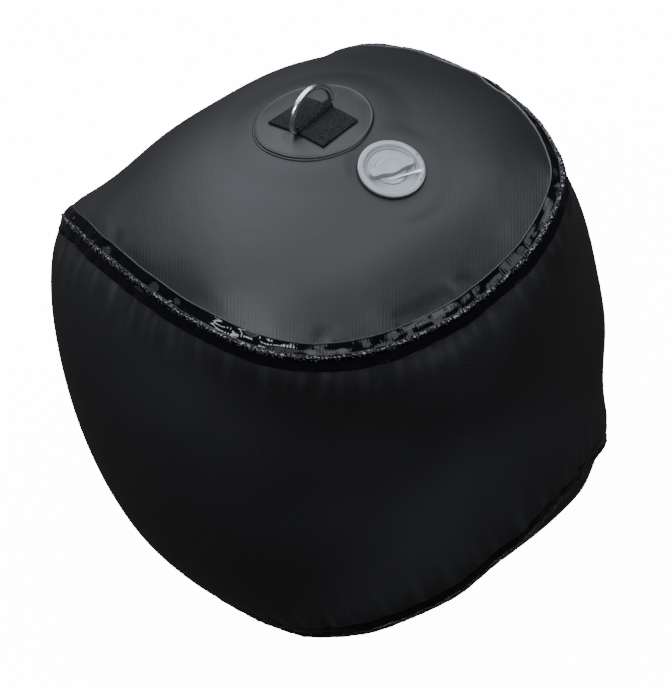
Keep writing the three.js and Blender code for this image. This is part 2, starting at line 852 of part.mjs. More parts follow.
// Half width of the finger grip at a distance from its middle, on the side with the given bulge.
function gripHalfWidth(reach, bulge) {
  if (Math.abs(reach) > wingBulgeSpan) return wingHalfWidth;
  const swell = Math.cos((reach / wingBulgeSpan) * (Math.PI / 2)) ** 2;
  return wingHalfWidth + (bulge - wingHalfWidth) * swell;
}

function valveCap() {
  const grooveUnder = grooveTop - sealHeight - 2 * gap;
  const plug = turned([
    [0, capDeckUnder],
    [capRadius - capWall, capDeckUnder],
    [capRadius - capWall, skirtUnder],
    [capRadius, skirtUnder],
    [capRadius, grooveUnder],
    [grooveRadius, grooveUnder],
    [grooveRadius, grooveTop],
    [capRadius, grooveTop],
    [capRadius, bowlFloor + capTop],
    [0, bowlFloor + capTop],
  ]);
  const straight = wingReach - wingHalfWidth;
  const steps = 14;
  const tipSteps = 6;
  const side = (bulge, facing) => {
    const points = [];
    for (let i = 0; i <= steps; i += 1) {
      const x = facing * straight * (1 - (2 * i) / steps);
      points.push(new THREE.Vector2(x, facing * (gripHalfWidth(x, bulge) - wingEdge)));
    }
    for (let i = 1; i < tipSteps; i += 1) {
      const angle = (i / tipSteps) * Math.PI;
      const round = wingHalfWidth - wingEdge;
      const x = facing * (-straight - round * Math.sin(angle));
      points.push(new THREE.Vector2(x, facing * round * Math.cos(angle)));
    }
    return points;
  };
  const outline = new THREE.Shape([...side(wingBulgeFar, 1), ...side(wingBulgeNear, -1)]);
  const gripLow = bowlFloor + wingLift;
  const grip = new THREE.ExtrudeGeometry(outline, {
    depth: wingTop - gripLow - 2 * wingEdge,
    bevelThickness: wingEdge,
    bevelSize: wingEdge,
    bevelSegments: 1,
    steps: 1,
  });
  grip.translate(0, 0, gripLow + wingEdge);
  const dimple = disc(dimpleRadius, wingTop - dimpleDepth, wingTop + overcut);
  return cut(joined(plug, grip), dimple);
}

function capSeal() {
  return washer(grooveRadius + gap, capRadius, grooveTop - gap - sealHeight, grooveTop - gap);
}

// The tether, from its fork on the lip to the near side of the grip, which it follows. X is along the grip.
function capTether() {
  const reach = bowlMouthRadius + tetherRootInset;
  const angle = (tetherRootDeg - wingAngleDeg) * deg;
  const onLip = lipTop + gap + tetherThickness / 2;
  const root = new THREE.Vector3(reach * Math.cos(angle), reach * Math.sin(angle), onLip);
  const beside = (x, z) => {
    const wall = gripHalfWidth(x, wingBulgeNear) + 2 * gap + tetherWidth / 2;
    return new THREE.Vector3(x, -wall, z);
  };
  const first = beside(tetherBesideFrom, lipTop - tetherDrop / 3);
  const middle = root.clone().add(first).multiplyScalar(0.5);
  const halfway = (tetherBesideFrom + tetherBesideTo) / 2;
  const path = new THREE.CatmullRomCurve3([
    root,
    middle.setZ(lipTop),
    first,
    beside(halfway, lipTop - (tetherDrop * 2) / 3),
    beside(tetherBesideTo, lipTop - tetherDrop),
  ]);
  const steps = 12;
  const rows = [];
  for (let i = 0; i <= steps; i += 1) {
    const centre = path.getPoint(i / steps);
    const aside = path.getTangent(i / steps).cross(new THREE.Vector3(0, 0, 1)).normalize();
    const fork = Math.max(0, 1 - i / 3);
    const half = (tetherWidth + (tetherForkWidth - tetherWidth) * fork) / 2;
    const corner = (across, up) => centre.clone()
      .addScaledVector(aside, across * half)
      .add(new THREE.Vector3(0, 0, (up * tetherThickness) / 2));
    rows.push([corner(-1, -1), corner(1, -1), corner(1, 1), corner(-1, 1)]);
  }
  return swept(rows, false);
}

// The hollow in the bladder that takes the valve: a flat seat for the gasket and a bore for the rest.
function valvePocket() {
  const clear = gasketRadius + gap;
  return turned([
    [0, pocketFloor],
    [neckRadius, pocketFloor],
    [neckRadius, 0],
    [clear, 0],
    [clear, clear],
    [0, clear],
  ]);
}

function mesh(name, geometry, look) {
  const piece = new THREE.Mesh(geometry, look);
  piece.name = name;
  return piece;
}

// The ball stands with the pole of one lobe up and the other panel's waist towards +X.
const upright = new THREE.Matrix4().makeBasis(
  new THREE.Vector3(0, 0, 1),
  new THREE.Vector3(0, 1, 0),
  new THREE.Vector3(-1, 0, 0),
);
const ball = bladderSkin(inflatedNet().map((p) => p.applyMatrix4(upright)));

// Everything is then seen from the D-ring. Its bar lies on the patch's two plies, and they on the skin.
const pliesTop = 3 * gap + 2 * plyThickness;
const overAnchor = frameOn(ball, anchorAlong, anchorAside, anchorTurnDeg);
const anchorSeat = seatOn(inFrame(ball, overAnchor), patchRadius);
const barHeight = anchorSeat(0, 0) + pliesTop + ringWireRadius;
const barFrame = overAnchor.clone().multiply(new THREE.Matrix4().makeTranslation(0, 0, barHeight));
const toBar = barFrame.clone().invert();
for (const p of ball.points) p.applyMatrix4(toBar);
for (const edge of ball.edges) for (const point of edge) point.normal.transformDirection(toBar);
const seat = (x, y) => anchorSeat(x, y) - barHeight;

// The valve stands on a flat seat, as deep in the skin as its gasket's rim reaches.
const lowerPlyRadius = patchRadius + lowerPlyMargin;
const valveAlong = patchAlong + lowerPlyRadius + valveToPatch + gasketRadius;
const overValve = frameOn(ball, valveAlong, 0, 0);
const skinUnderValve = inFrame(ball, overValve);
const gasketRim = [];
for (let i = 0; i < 16; i += 1) {
  const angle = (i / 16) * 2 * Math.PI;
  gasketRim.push(heightOver(skinUnderValve, gasketRadius * Math.cos(angle), gasketRadius * Math.sin(angle)));
}
const sunk = new THREE.Matrix4().makeTranslation(0, 0, Math.min(...gasketRim));
const valveFrame = overValve.clone().multiply(sunk);

const pocket = valvePocket();
pocket.applyMatrix4(valveFrame);
const bladder = mesh('bladder', cut(solidFrom(ball.points, ball.triangles), pocket), coatedFabric);
const tape = mesh('seam_tape', seamTape(ball), glossTape);

const anchor = new THREE.Group();
const lowerMiddle = [patchAlong, patchAside + lowerPlyShift];
const lowerPly = ply(seat, lowerPlyRadius, lowerMiddle, gap, plyThickness);
const upperPly = ply(seat, patchRadius, [patchAlong, patchAside], 2 * gap + plyThickness, plyThickness);
anchor.add(
  mesh('anchor_patch_lower', lowerPly, patchFabric),
  mesh('anchor_patch_upper', upperPly, patchFabric),
  mesh('webbing_strap', webbingStrap(seat, pliesTop), webbing),
  mesh('d_ring', dRing(), stainless),
);

const valve = new THREE.Group();
valveFrame.decompose(valve.position, valve.quaternion, valve.scale);
const cap = new THREE.Group();
cap.rotation.z = wingAngleDeg * deg;
cap.add(
  mesh('valve_cap', valveCap(), greyPlastic),
  mesh('cap_seal', capSeal(), blackRubber),
  mesh('cap_tether', capTether(), paleStrap),
);
valve.add(
  mesh('valve_gasket', valveGasket(), blackRubber),
  mesh('valve_body', valveBody(), greyPlastic),
  mesh('valve_base', valveBase(), greyPlastic),
  mesh('valve_plunger', valvePlunger(), greyPlastic),
  mesh('plunger_button', plungerButton(), greyPlastic),
  mesh('valve_spring', valveSpring(), stainless),
  mesh('valve_diaphragm', valveDiaphragm(), blackRubber),
  cap,
);

const fender = new THREE.Group();
fender.name = 'ball_fender';
fender.add(bladder, tape, anchor, valve);
export default fender;
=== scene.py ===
"""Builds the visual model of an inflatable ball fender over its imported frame.

Everything is in metres in the frame's own axes: the origin is the middle of the D-ring's bar, +Z points out
of the ball, +Y runs along the bar and +X towards the valve.
"""
import json
import math
import random

import bpy
import numpy as np
from mathutils import Matrix, Quaternion, Vector
from mathutils.bvhtree import BVHTree
from mathutils.kdtree import KDTree


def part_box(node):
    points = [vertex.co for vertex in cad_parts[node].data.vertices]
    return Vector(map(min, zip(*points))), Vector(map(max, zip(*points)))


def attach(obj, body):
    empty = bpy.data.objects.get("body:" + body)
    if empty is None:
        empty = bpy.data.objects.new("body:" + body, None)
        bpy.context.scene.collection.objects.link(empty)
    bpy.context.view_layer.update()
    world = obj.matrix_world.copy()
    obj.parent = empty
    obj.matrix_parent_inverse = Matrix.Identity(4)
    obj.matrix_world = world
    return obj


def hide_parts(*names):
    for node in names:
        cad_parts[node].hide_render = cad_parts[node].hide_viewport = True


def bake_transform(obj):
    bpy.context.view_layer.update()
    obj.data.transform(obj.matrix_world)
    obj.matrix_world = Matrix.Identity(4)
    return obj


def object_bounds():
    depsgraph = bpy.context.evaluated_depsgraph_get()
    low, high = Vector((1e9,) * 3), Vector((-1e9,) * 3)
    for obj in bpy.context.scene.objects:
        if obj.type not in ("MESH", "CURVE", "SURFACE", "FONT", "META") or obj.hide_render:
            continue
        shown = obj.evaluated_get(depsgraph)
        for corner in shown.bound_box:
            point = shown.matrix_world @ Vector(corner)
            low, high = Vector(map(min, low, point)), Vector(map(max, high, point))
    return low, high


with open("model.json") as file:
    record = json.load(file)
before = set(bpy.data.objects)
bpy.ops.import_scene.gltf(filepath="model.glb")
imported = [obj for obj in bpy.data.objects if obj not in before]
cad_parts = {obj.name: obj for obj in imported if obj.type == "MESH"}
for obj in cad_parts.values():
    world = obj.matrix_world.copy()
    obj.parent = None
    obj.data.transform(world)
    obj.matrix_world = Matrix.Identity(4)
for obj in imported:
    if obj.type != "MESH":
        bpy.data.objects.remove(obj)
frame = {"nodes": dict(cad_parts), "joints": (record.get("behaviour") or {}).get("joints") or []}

bl_info = {
    "name": "Ball fender",
    "version": (1, 0, 0),
    "blender": (4, 5, 0),
    "location": "View3D > Sidebar > Fender",
    "description": "Inflated skin, seam tape, anchor and valve of a ball fender",
    "category": "Object",
}

CAD_BOX = [list(corner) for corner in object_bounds()]
MM = 0.001
TURN = 2 * math.pi

# The clearance between the pieces of the anchor.
GAP = 0.3 * MM

# The seam runs round the ball as a sum of waves, in millimetres, in the ball's own axes.
SEAM_WAVES_X = {1: 217.8, 3: -88.3, 5: 3.61, 7: -3.09, 9: -2.43, 11: 2.75}
SEAM_WAVES_Y = {1: 217.8, 3: 88.3, 5: 3.61, 7: 3.08, 9: -2.43, 11: -2.76}
SEAM_WAVES_Z = {2: -248.53, 6: 9.35, 10: 5.75}
BALL_TURN = Quaternion((-0.65302, 0.070619, 0.751288, 0.064376))
BALL_MIDDLE = Vector((-15.438, 2.226, -284.795)) * MM

# The camera: the picture's height, its focal length and its shift in pixels, and the distance in metres.
PHOTO_HEIGHT = 690.0
FOCUS_PIXELS = 2519.0
SHIFT_PIXELS = (-5.868, -10.75)
CAMERA_AWAY = 2.5584

# The camera's own axes. The slump says how far the seam is moved out, in millimetres, at angles along it.
VIEW_RIGHT = Vector((0.75416, 0.64328, -0.13203))
VIEW_UP = Vector((-0.3588, 0.57203, 0.7376))
VIEW_BACK = Vector((0.55001, -0.50889, 0.66221))
SLUMP = (
    (0, 0), (17, 0), (21, 5), (26, 0), (66, 0), (72, 4), (80, 0), (142, 0), (150, -4), (156, -12), (161, -15),
    (166, -11), (170, -2), (174, 9), (178, 17), (182, 20), (186, 22), (190, 20), (194, 16), (198, 10), (202, 5),
    (208, 0), (216, 2), (224, 5), (232, 5), (242, 2), (250, 0), (360, 0),
)
SLUMP_REACH = (58 * MM, 140 * MM)

# The cap's grip angle, half a wing's width in millimetres, and the angle of the tether's root.
GRIP_TURN = 70
WING_HALF = 4.8
TETHER_AT = 37

# Where along the seam, in degrees, the smooth panel is dented beside the tape.
DIMPLES = (2.5, 38, 66, 97, 131, 149, 183, 207, 236, 281, 312, 343)

# The smooth panel's dents beside the tape are deeper at the dimples, and the other panel's gathers are deep.
DENT_DEPTH, DIMPLE_DEPTH, GATHER_DEPTH = 0.05, 0.6, 1.8

# Below a height in metres the edges of the tape sink into the fabric, over a fade in metres.
TAPE_LOW, TAPE_FADE = -0.24, 0.06

# Where the tape's two ends lap, as a share of its way round, and the length of the lap in metres.
LAP_AT, LAP_LENGTH = 0.994, 0.034

# The webbing's corners in millimetres, and the angles of the drain holes on the valve.
STRAP_CORNERS = ((-36.3, -24.4), (-27.8, 24.4), (35.8, 23.4), (33.6, -25.2))
DRAINS = (17, 75)


def length(name, description, value):
    """A length that is given in millimetres."""
    return bpy.props.FloatProperty(name=name, description=description, default=value * MM, unit="LENGTH")


def power(name, description, value):
    return bpy.props.FloatProperty(name=name, description=f"{description}, in watts", default=value)


def tint(name, description, value):
    return bpy.props.FloatVectorProperty(
        name=name, description=description, subtype="COLOR", size=3, default=value)


class SkinSizes(bpy.types.PropertyGroup):
    """Sizes of the blown-up fabric."""

    voxel: length("Mesh step", "Step of the skin's mesh", 6.6)
    pucker_step: length("Pucker spacing", "Spacing of puckers beside the seam", 25)
    pucker_depth: length("Pucker depth", "Depth of a strong pucker", 2.2)
    streak: length("Weave streak", "Pitch of the streaks in the weave", 3.1)
    colour: tint("Fabric colour", "Colour of the coating", (0.0102, 0.0103, 0.011))


class TapeSizes(bpy.types.PropertyGroup):
    """Sizes of the seam tape."""

    flank: length("Flank", "Width of the tape on each side of the ridge", 14)
    thickness: length("Thickness", "Thickness of the tape", 0.9)
    ridge: length("Ridge height", "Height of the folded ridge", 2.6)
    colour: tint("Tape colour", "Colour of the tape", (0.0035, 0.0035, 0.0045))


class AnchorSizes(bpy.types.PropertyGroup):
    """Sizes of the patch, the webbing and the D-ring."""

    patch_radius: length("Patch radius", "Radius of the upper ply", 57)
    ply: length("Ply", "Thickness of one ply", 0.9)
    wire: length("Ring wire radius", "Radius of the ring's rod", 3)
    webbing: length("Webbing thickness", "Thickness of the webbing", 1.8)
    thread: length("Thread radius", "Radius of the sewing thread", 0.28)


class ValveSizes(bpy.types.PropertyGroup):
    """Sizes of the valve, from its own axis."""

    flange: length("Flange radius", "Radius of the flange", 31.5)
    gasket: length("Gasket radius", "Radius of the gasket", 32.5)
    mouth: length("Bowl mouth radius", "Radius of the bowl at the top", 26.4)
    floor: length("Bowl floor radius", "Radius of the bowl's floor", 22.6)
    bore: length("Bore radius", "Radius of the bore that holds the cap", 15.5)
    grip_turn: bpy.props.FloatProperty(
        name="Grip angle", description="Angle of the cap's grip", default=math.radians(GRIP_TURN), subtype="ANGLE")
    colour: tint("Plastic colour", "Colour of the moulded plastic", (0.285, 0.312, 0.325))


class StageSizes(bpy.types.PropertyGroup):
    """The floor, the lights and the camera."""

    floor: length("Floor size", "Width of the floor", 40000)
    overhead: power("Overhead light", "Power of the overhead light", 51.0)
    left: power("Left light", "Power of the light on the left", 37.0)
    right: power("Right light", "Power of the light on the right", 28.0)
    key: power("Key light", "Power of the light over the camera", 42.0)


# Helpers for meshes


def deselect():
    if bpy.context.object and bpy.context.object.mode != "OBJECT":
        bpy.ops.object.mode_set(mode="OBJECT")
    bpy.ops.object.select_all(action="DESELECT")


def pick(piece):
    deselect()
    piece.select_set(True)
    bpy.context.view_layer.objects.active = piece


def points_of(piece):
    flat = np.empty(3 * len(piece.data.vertices))
    piece.data.vertices.foreach_get("co", flat)
    return flat.reshape(-1, 3)


def set_points(piece, points):
    piece.data.vertices.foreach_set("co", np.ascontiguousarray(points, dtype=float).ravel())
    piece.data.update()


def normals_of(piece):
    flat = np.empty(3 * len(piece.data.vertices))
    piece.data.vertices.foreach_get("normal", flat)
    return flat.reshape(-1, 3)


def modify(piece, kind, **settings):
    """Adds one modifier and applies it."""
    pick(piece)
    modifier = piece.modifiers.new(kind.title(), kind)
    for key, value in settings.items():
        setattr(modifier, key, value)
    bpy.ops.object.modifier_apply(modifier=modifier.name)


def new_mesh(name, points, faces=(), edges=()):
    data = bpy.data.meshes.new(name)
    data.from_pydata([tuple(p) for p in points], [tuple(e) for e in edges], [tuple(f) for f in faces])
    data.update()
    piece = bpy.data.objects.new(name, data)
    bpy.context.scene.collection.objects.link(piece)
    return piece


def clean(piece, distance=1e-6):
    """Merges doubles and turns the faces outwards."""
    pick(piece)
    bpy.ops.object.mode_set(mode="EDIT")
    bpy.ops.mesh.select_all(action="SELECT")
    bpy.ops.mesh.remove_doubles(threshold=distance)
    bpy.ops.mesh.normals_make_consistent(inside=False)
    bpy.ops.object.mode_set(mode="OBJECT")


def turned(name, profile, steps=96):
    """A solid turned about Z from (radius, height) pairs in millimetres."""
    points = [(r * MM, 0, z * MM) for r, z in profile]
    chain = [(i, i + 1) for i in range(len(points) - 1)]
    piece = new_mesh(name, points, edges=chain)
    pick(piece)
    bpy.ops.object.mode_set(mode="EDIT")
    bpy.ops.mesh.select_all(action="SELECT")
    bpy.ops.mesh.spin(steps=steps, angle=TURN, center=(0, 0, 0), axis=(0, 0, 1))
    bpy.ops.object.mode_set(mode="OBJECT")
    clean(piece)
    return piece


def soften(piece, width, segments=3, angle=30):
    modify(piece, "BEVEL", width=width, segments=segments, limit_method="ANGLE",
           angle_limit=math.radians(angle), harden_normals=False)


def smooth(piece, angle=35):
    pick(piece)
    bpy.ops.object.shade_smooth_by_angle(angle=math.radians(angle))


def merge(name, pieces):
    deselect()
    for piece in pieces:
        piece.select_set(True)
    bpy.context.view_layer.objects.active = pieces[0]
    bpy.ops.object.join()
    pieces[0].name = name
    return pieces[0]


def strand(name, paths, radius, sides, closed=False):
    """Round strands along lists of points."""
    curve = bpy.data.curves.new(name, "CURVE")
    curve.dimensions = "3D"
    curve.bevel_depth = radius
    curve.bevel_resolution = sides
    curve.use_fill_caps = True
    for path in paths:
        spline = curve.splines.new("POLY")
        spline.use_cyclic_u = closed
        spline.points.add(len(path) - 1)
        for point, place in zip(spline.points, path):
            point.co = (*place, 1)
    piece = bpy.data.objects.new(name, curve)
    bpy.context.scene.collection.objects.link(piece)
    pick(piece)
    bpy.ops.object.convert(target="MESH")
    return bpy.context.object


def finish(piece, name, body, paint, nodes=(), angle=35):
    piece.name = name
    piece.data.name = name
    piece.data.materials.clear()
    piece.data.materials.append(paint)
    if angle:
        smooth(piece, angle)
    if body:
        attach(piece, body)
    if nodes:
        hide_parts(*nodes)
    deselect()
    return piece


# Helpers for materials


class Signal:
    """A shader socket that takes part in sums and products."""

    def __init__(self, paint, socket):
        self.paint = paint
        self.socket = socket

    def math(self, operation, *others, flip=False):
        values = [self, *others]
        if flip:
            values.reverse()
        return self.paint.node("ShaderNodeMath", {"operation": operation}, dict(enumerate(values)))

    def __add__(self, other):
        return self.math("ADD", other)

    def __sub__(self, other):
        return self.math("SUBTRACT", other)

    def __mul__(self, other):
        return self.math("MULTIPLY", other)

    def __rsub__(self, other):
        return self.math("SUBTRACT", other, flip=True)

    __radd__ = __add__
    __rmul__ = __mul__

    def sin(self):
        return self.math("SINE")

    def absolute(self):
        return self.math("ABSOLUTE")

    def above(self, level):
        return self.math("GREATER_THAN", level)

    def ramp(self, low, high, first=0.0, last=1.0):
        """Runs smoothly from first to last as the signal goes from low to high."""
        values = {"Value": self, "From Min": low, "From Max": high, "To Min": first, "To Max": last}
        return self.paint.node("ShaderNodeMapRange", {"interpolation_type": "SMOOTHSTEP"}, values)


class Paint:
    """One material, with a single method that adds any node."""

    def __init__(self, name):
        self.material = bpy.data.materials.new(name)
        self.material.use_nodes = True
        self.tree = self.material.node_tree
        self.tree.nodes.clear()

    def node(self, kind, settings=None, values=None, output=0):
        node = self.tree.nodes.new(kind)
        for key, value in (settings or {}).items():
            setattr(node, key, value)
        for key, value in (values or {}).items():
            socket = node.inputs[key]
            if isinstance(value, Signal):
                self.tree.links.new(value.socket, socket)
            else:
                socket.default_value = value
        return Signal(self, node.outputs[output]) if node.outputs else None

    def place(self):
        return self.node("ShaderNodeTexCoord", output=3)

    def axes(self, place=None):
        split = self.tree.nodes.new("ShaderNodeSeparateXYZ")
        self.tree.links.new((place or self.place()).socket, split.inputs[0])
        return [Signal(self, output) for output in split.outputs]

    def along(self, direction, place=None):
        """Distance along a direction, in metres."""
        values = {0: place or self.place(), 1: tuple(direction)}
        return self.node("ShaderNodeVectorMath", {"operation": "DOT_PRODUCT"}, values, output=1)

    def attribute(self, name):
        return self.node("ShaderNodeAttribute", {"attribute_name": name}, output=2)

    def noise(self, scale, detail=2.0, place=None, rough=0.5):
        values = {"Vector": place or self.place(), "Scale": scale, "Detail": detail, "Roughness": rough}
        return self.node("ShaderNodeTexNoise", None, values)

    def blend(self, share, first, second):
        def colour(c):
            return c if isinstance(c, Signal) else (*c, 1)

        values = {0: share, 6: colour(first), 7: colour(second)}
        return self.node("ShaderNodeMix", {"data_type": "RGBA"}, values, output=2)

    def bump(self, height):
        """A bump whose height is in metres."""
        return self.node("ShaderNodeBump", None, {"Height": height, "Strength": 1.0, "Distance": 1.0})

    def surface(self, colour, roughness, normal=None, **constants):
        values = {"Base Color": colour if isinstance(colour, Signal) else (*colour, 1), "Roughness": roughness}
        if normal:
            values["Normal"] = normal
        for key, value in constants.items():
            values[key.replace("_", " ")] = value
        shader = self.node("ShaderNodeBsdfPrincipled", None, values)
        self.node("ShaderNodeOutputMaterial", None, {"Surface": shader})
        return self.material


def coated_fabric(name, colour, streak, is_skin=True, polish=0.0):
    """Satin coating over a fine weave, with streaks that follow the threads of each panel, and on the skin lighter
    streaks painted beside the seam as highlights on the gathers.
    """
    paint = Paint(name)
    place = paint.place()
    first = paint.along((0.7542, 0.6433, -0.132), place)
    second = paint.along((-0.22, 0.5, 0.836), place)
    drift = paint.noise(9.0, 2.0, place) * 0.004
    thread = TURN / streak
    top = ((first + drift) * thread).sin() * 0.6 + (first * (thread * 2.63)).sin() * 0.4
    third = paint.along((0.9, 0.1, 0.2), place)
    front = ((second + drift) * (thread * 1.9)).sin() * (third * (thread * 1.9)).sin()
    patches = paint.noise(22.0, 3.0, place)
    visible = patches.ramp(0.35, 0.7, 0.35, 1.0)
    if is_skin:
        panel = paint.attribute("panel")
        edge = paint.attribute("edge")
        weave = top * (1 - panel) + front * panel * 0.7
        near = edge.ramp(0.01, 0.055, 3.6, 1.0)
        weave = weave * visible * near
        # Painted highlight: lighter streaks beside the seam on the front panel stand in for light caught by the
        # gathers.
        run = paint.attribute("run")
        wander = paint.noise(14.0, 2.0, place) * 4.0
        painted_gather_sheen = (run * (TURN / 0.031) + wander).sin() * 0.5 + (run * (TURN / 0.0173) - wander).sin() * 0.5
        reach = (edge + painted_gather_sheen * 0.012).ramp(0.015, 0.07, 1.0, 0.0)
        painted_gather_sheen = painted_gather_sheen.ramp(-0.1, 0.9) * reach * edge.ramp(0.006, 0.02) * panel
    else:
        weave = top * visible
    fine = paint.noise(1900.0, 2.0, place)
    height = weave * 0.000028 + fine * 0.00002 + paint.noise(60.0, 3.0, place) * 0.00025
    cloud = paint.noise(5.0, 3.0, place)
    specks = paint.noise(520.0, 0.0, place).ramp(0.83, 0.86, 0.0, 0.7)
    dust = paint.blend(cloud.ramp(0.3, 0.75), tuple(0.86 * c for c in colour), tuple(1.2 * c for c in colour))
    tone = paint.blend(specks, dust, (0.05, 0.05, 0.05))
    if is_skin:
        # The painted highlights on the gathers: the front panel's colour is lightened in these streaks.
        tone = paint.blend(painted_gather_sheen * 0.13, tone, (0.09, 0.095, 0.1))
    rough = cloud.ramp(0.25, 0.8, 0.46 - polish, 0.54 - polish) + weave * 0.03 + fine * 0.04
    return paint.surface(tone, rough, paint.bump(height), Specular_IOR_Level=0.5)


def gloss_tape(colour):
    """Wet-looking tape whose ripples break its reflections into blobs, with a grained ridge that has painted
    sparkle on its higher parts, and a painted highlight line along one edge.
    """
    paint = Paint("seam_tape_gloss")
    place = paint.place()
    across = paint.attribute("across")
    run = paint.attribute("run")
    ripple = (run * (TURN / 0.0031)).sin() * paint.noise(70.0, 2.0, place).ramp(0.3, 0.7)
    swell = paint.noise(55.0, 1.0, place)
    crest = across.ramp(-0.2, -0.06) * across.ramp(0.1, 0.3, 1.0, 0.0)
    # Painted highlight: a lighter grey line along the tape's edge at across = -1 stands in for light on its bead.
    painted_edge_highlight = across.ramp(-0.99, -0.9, 0.4, 0.0)
    grain = paint.noise(300.0, 3.0, place, 0.6)
    calm = across.ramp(-0.05, 0.1, 1.0, 0.45)
    height = swell * calm * 0.0034 + ripple * 0.00006 + grain * crest * 0.0045 + grain * 0.0001
    dull = paint.noise(90.0, 3.0, place).ramp(0.45, 0.8, 0.0, 0.05)
    rough = 0.05 + crest * 0.06 + across.ramp(0.02, 0.15, 0.0, 0.12) + dull
    # Painted highlight: light grey flecks on the ridge, only on the tape's higher parts, stand in for the ridge's
    # sparkle.
    upper = paint.axes(place)[2].ramp(-0.3, -0.2)
    painted_ridge_sparkle = crest * upper * paint.noise(420.0, 2.0, place, 0.7).ramp(0.52, 0.64)
    tone = paint.blend(painted_ridge_sparkle, paint.blend(painted_edge_highlight, colour, (0.2, 0.21, 0.23)), (0.3, 0.31, 0.35))
    return paint.surface(tone, rough, paint.bump(height), Specular_IOR_Level=0.3)


def woven_webbing(colour, pitch=0.00115):
    """Black webbing: ribs across it and offset bundles along it."""
    paint = Paint("webbing_weave")
    place = paint.place()
    x, y, _ = paint.axes(place)
    rib = (x * (TURN / (2 * pitch))).sin()
    bundle = (y * (TURN / (2 * pitch)) + rib.above(0.0) * math.pi).sin().absolute()
    fuzz = paint.noise(3000.0, 3.0, place)
    glint = paint.noise(1000.0, 1.0, place, 0.6).ramp(0.5, 0.64) * bundle.ramp(0.2, 0.9, 0.5, 1.0)
    height = bundle * 0.0006 + rib.absolute() * 0.0003 + fuzz * 0.0004 + glint * 0.0005
    tone = paint.blend(glint, tuple(0.4 * c for c in colour), tuple(14.0 * c for c in colour))
    return paint.surface(tone, 0.62 + fuzz * 0.2, paint.bump(height), Specular_IOR_Level=0.3)


def sewing_thread(colour):
    """Twisted thread."""
    paint = Paint("sewing_thread")
    place = paint.place()
    twist = (paint.along((1, 1, 0.6), place) * (TURN / 0.0006)).sin()
    tone = paint.blend(twist.ramp(-1.0, 1.0), tuple(0.6 * c for c in colour), tuple(1.4 * c for c in colour))
    return paint.surface(tone, 0.62 + twist * 0.05, paint.bump(twist * 0.00008))


def polished_steel():
    """Bent stainless rod: bright, with fine draw lines and a few scuffs."""
    paint = Paint("stainless_rod")
    place = paint.place()
    draw = paint.noise(900.0, 2.0, place)
    scuff = paint.noise(160.0, 4.0, place).ramp(0.55, 0.75)
    tone = paint.blend(scuff, (0.78, 0.78, 0.79), (0.6, 0.6, 0.61))
    rough = 0.2 + draw * 0.06 + scuff * 0.16
    return paint.surface(tone, rough, paint.bump(draw * 0.00002 + scuff * 0.00003), Metallic=1.0)


def moulded_plastic(name, colour, roughness=0.2):
    """Moulded plastic with faint flow marks, a fine grain and a few rubbed spots."""
    paint = Paint(name)
    place = paint.place()
    flow = paint.noise(45.0, 3.0, place)
    grain = paint.noise(1600.0, 2.0, place)
    rub = paint.noise(120.0, 4.0, place).ramp(0.58, 0.78)
    light = tuple(min(1.0, 1.05 * c) for c in colour)
    tone = paint.blend(flow.ramp(0.3, 0.7), tuple(0.93 * c for c in colour), light)
    rough = roughness + flow * 0.08 + rub * 0.12
    return paint.surface(tone, rough, paint.bump(grain * 0.000012 + flow * 0.00006), Specular_IOR_Level=0.65)


def rubber(name, colour):
    """Dull black rubber with a faint bloom."""
    paint = Paint(name)
    place = paint.place()
    grain = paint.noise(1100.0, 3.0, place)
    bloom = paint.noise(70.0, 3.0, place).ramp(0.4, 0.75)
    tone = paint.blend(bloom, colour, tuple(1.5 * c + 0.002 for c in colour))
    return paint.surface(tone, 0.6 + bloom * 0.1, paint.bump(grain * 0.00003))


def studio_floor():
    """A pale, even floor that glows white."""
    paint = Paint("studio_floor")
    place = paint.place()
    dapple = paint.noise(1.2, 2.0, place)
    tone = paint.blend(dapple, (0.9, 0.9, 0.9), (0.93, 0.93, 0.93))
    return paint.surface(tone, 0.8 + dapple * 0.05, Emission_Color=(1, 1, 1, 1), Emission_Strength=14.0)


# Places that every piece shares


class Seam:
    """The seam line: the frame's own crease, found beside the sum of waves, and smooth points along it."""

    def __init__(self, skin_points, reach=5 * MM, steps=1440):
        guide = []
        for i in range(steps):
            t = TURN * i / steps
            own = Vector((
                sum(a * math.cos(k * t) for k, a in SEAM_WAVES_X.items()),
                sum(a * math.sin(k * t) for k, a in SEAM_WAVES_Y.items()),
                sum(a * math.cos(k * t) for k, a in SEAM_WAVES_Z.items()),
            )) * MM
            guide.append(BALL_TURN @ own + BALL_MIDDLE)
        tree = self.tree_of(guide)
        crease = {}
        for p in skin_points:
            _, i, apart = tree.find(p)
            if apart < reach:
                crease[i] = p
        order = sorted(crease)
        marks = np.array([order[-1] - steps, *order, order[0] + steps])
        knots = np.array([crease[order[-1]], *(crease[i] for i in order), crease[order[0]]])
        line = np.array([np.interp(np.arange(steps), marks, knots[:, axis]) for axis in range(3)]).T
        for _ in range(90):
            line = (np.roll(line, 1, axis=0) + 2 * line + np.roll(line, -1, axis=0)) / 4
        self.settle(line)

    def tree_of(self, points):
        tree = KDTree(len(points))
        for i, p in enumerate(points):
            tree.insert(p, i)
        tree.balance()
        return tree

    def settle(self, line):
        """Takes a new line and measures along it."""
        self.points = line
        steps = np.linalg.norm(np.roll(line, -1, axis=0) - line, axis=1)
        self.run = np.concatenate([[0], np.cumsum(steps)[:-1]])
        self.length = steps.sum()
        ahead = np.roll(line, -3, axis=0) - np.roll(line, 3, axis=0)
        self.tangents = ahead / np.linalg.norm(ahead, axis=1)[:, None]
        self.tree = self.tree_of(line)

    def nearest(self, points):
        """Distance to the seam and the seam's point for each point."""
        found = [self.tree.find(p) for p in points]
        return np.array([f[2] for f in found]), np.array([f[1] for f in found])


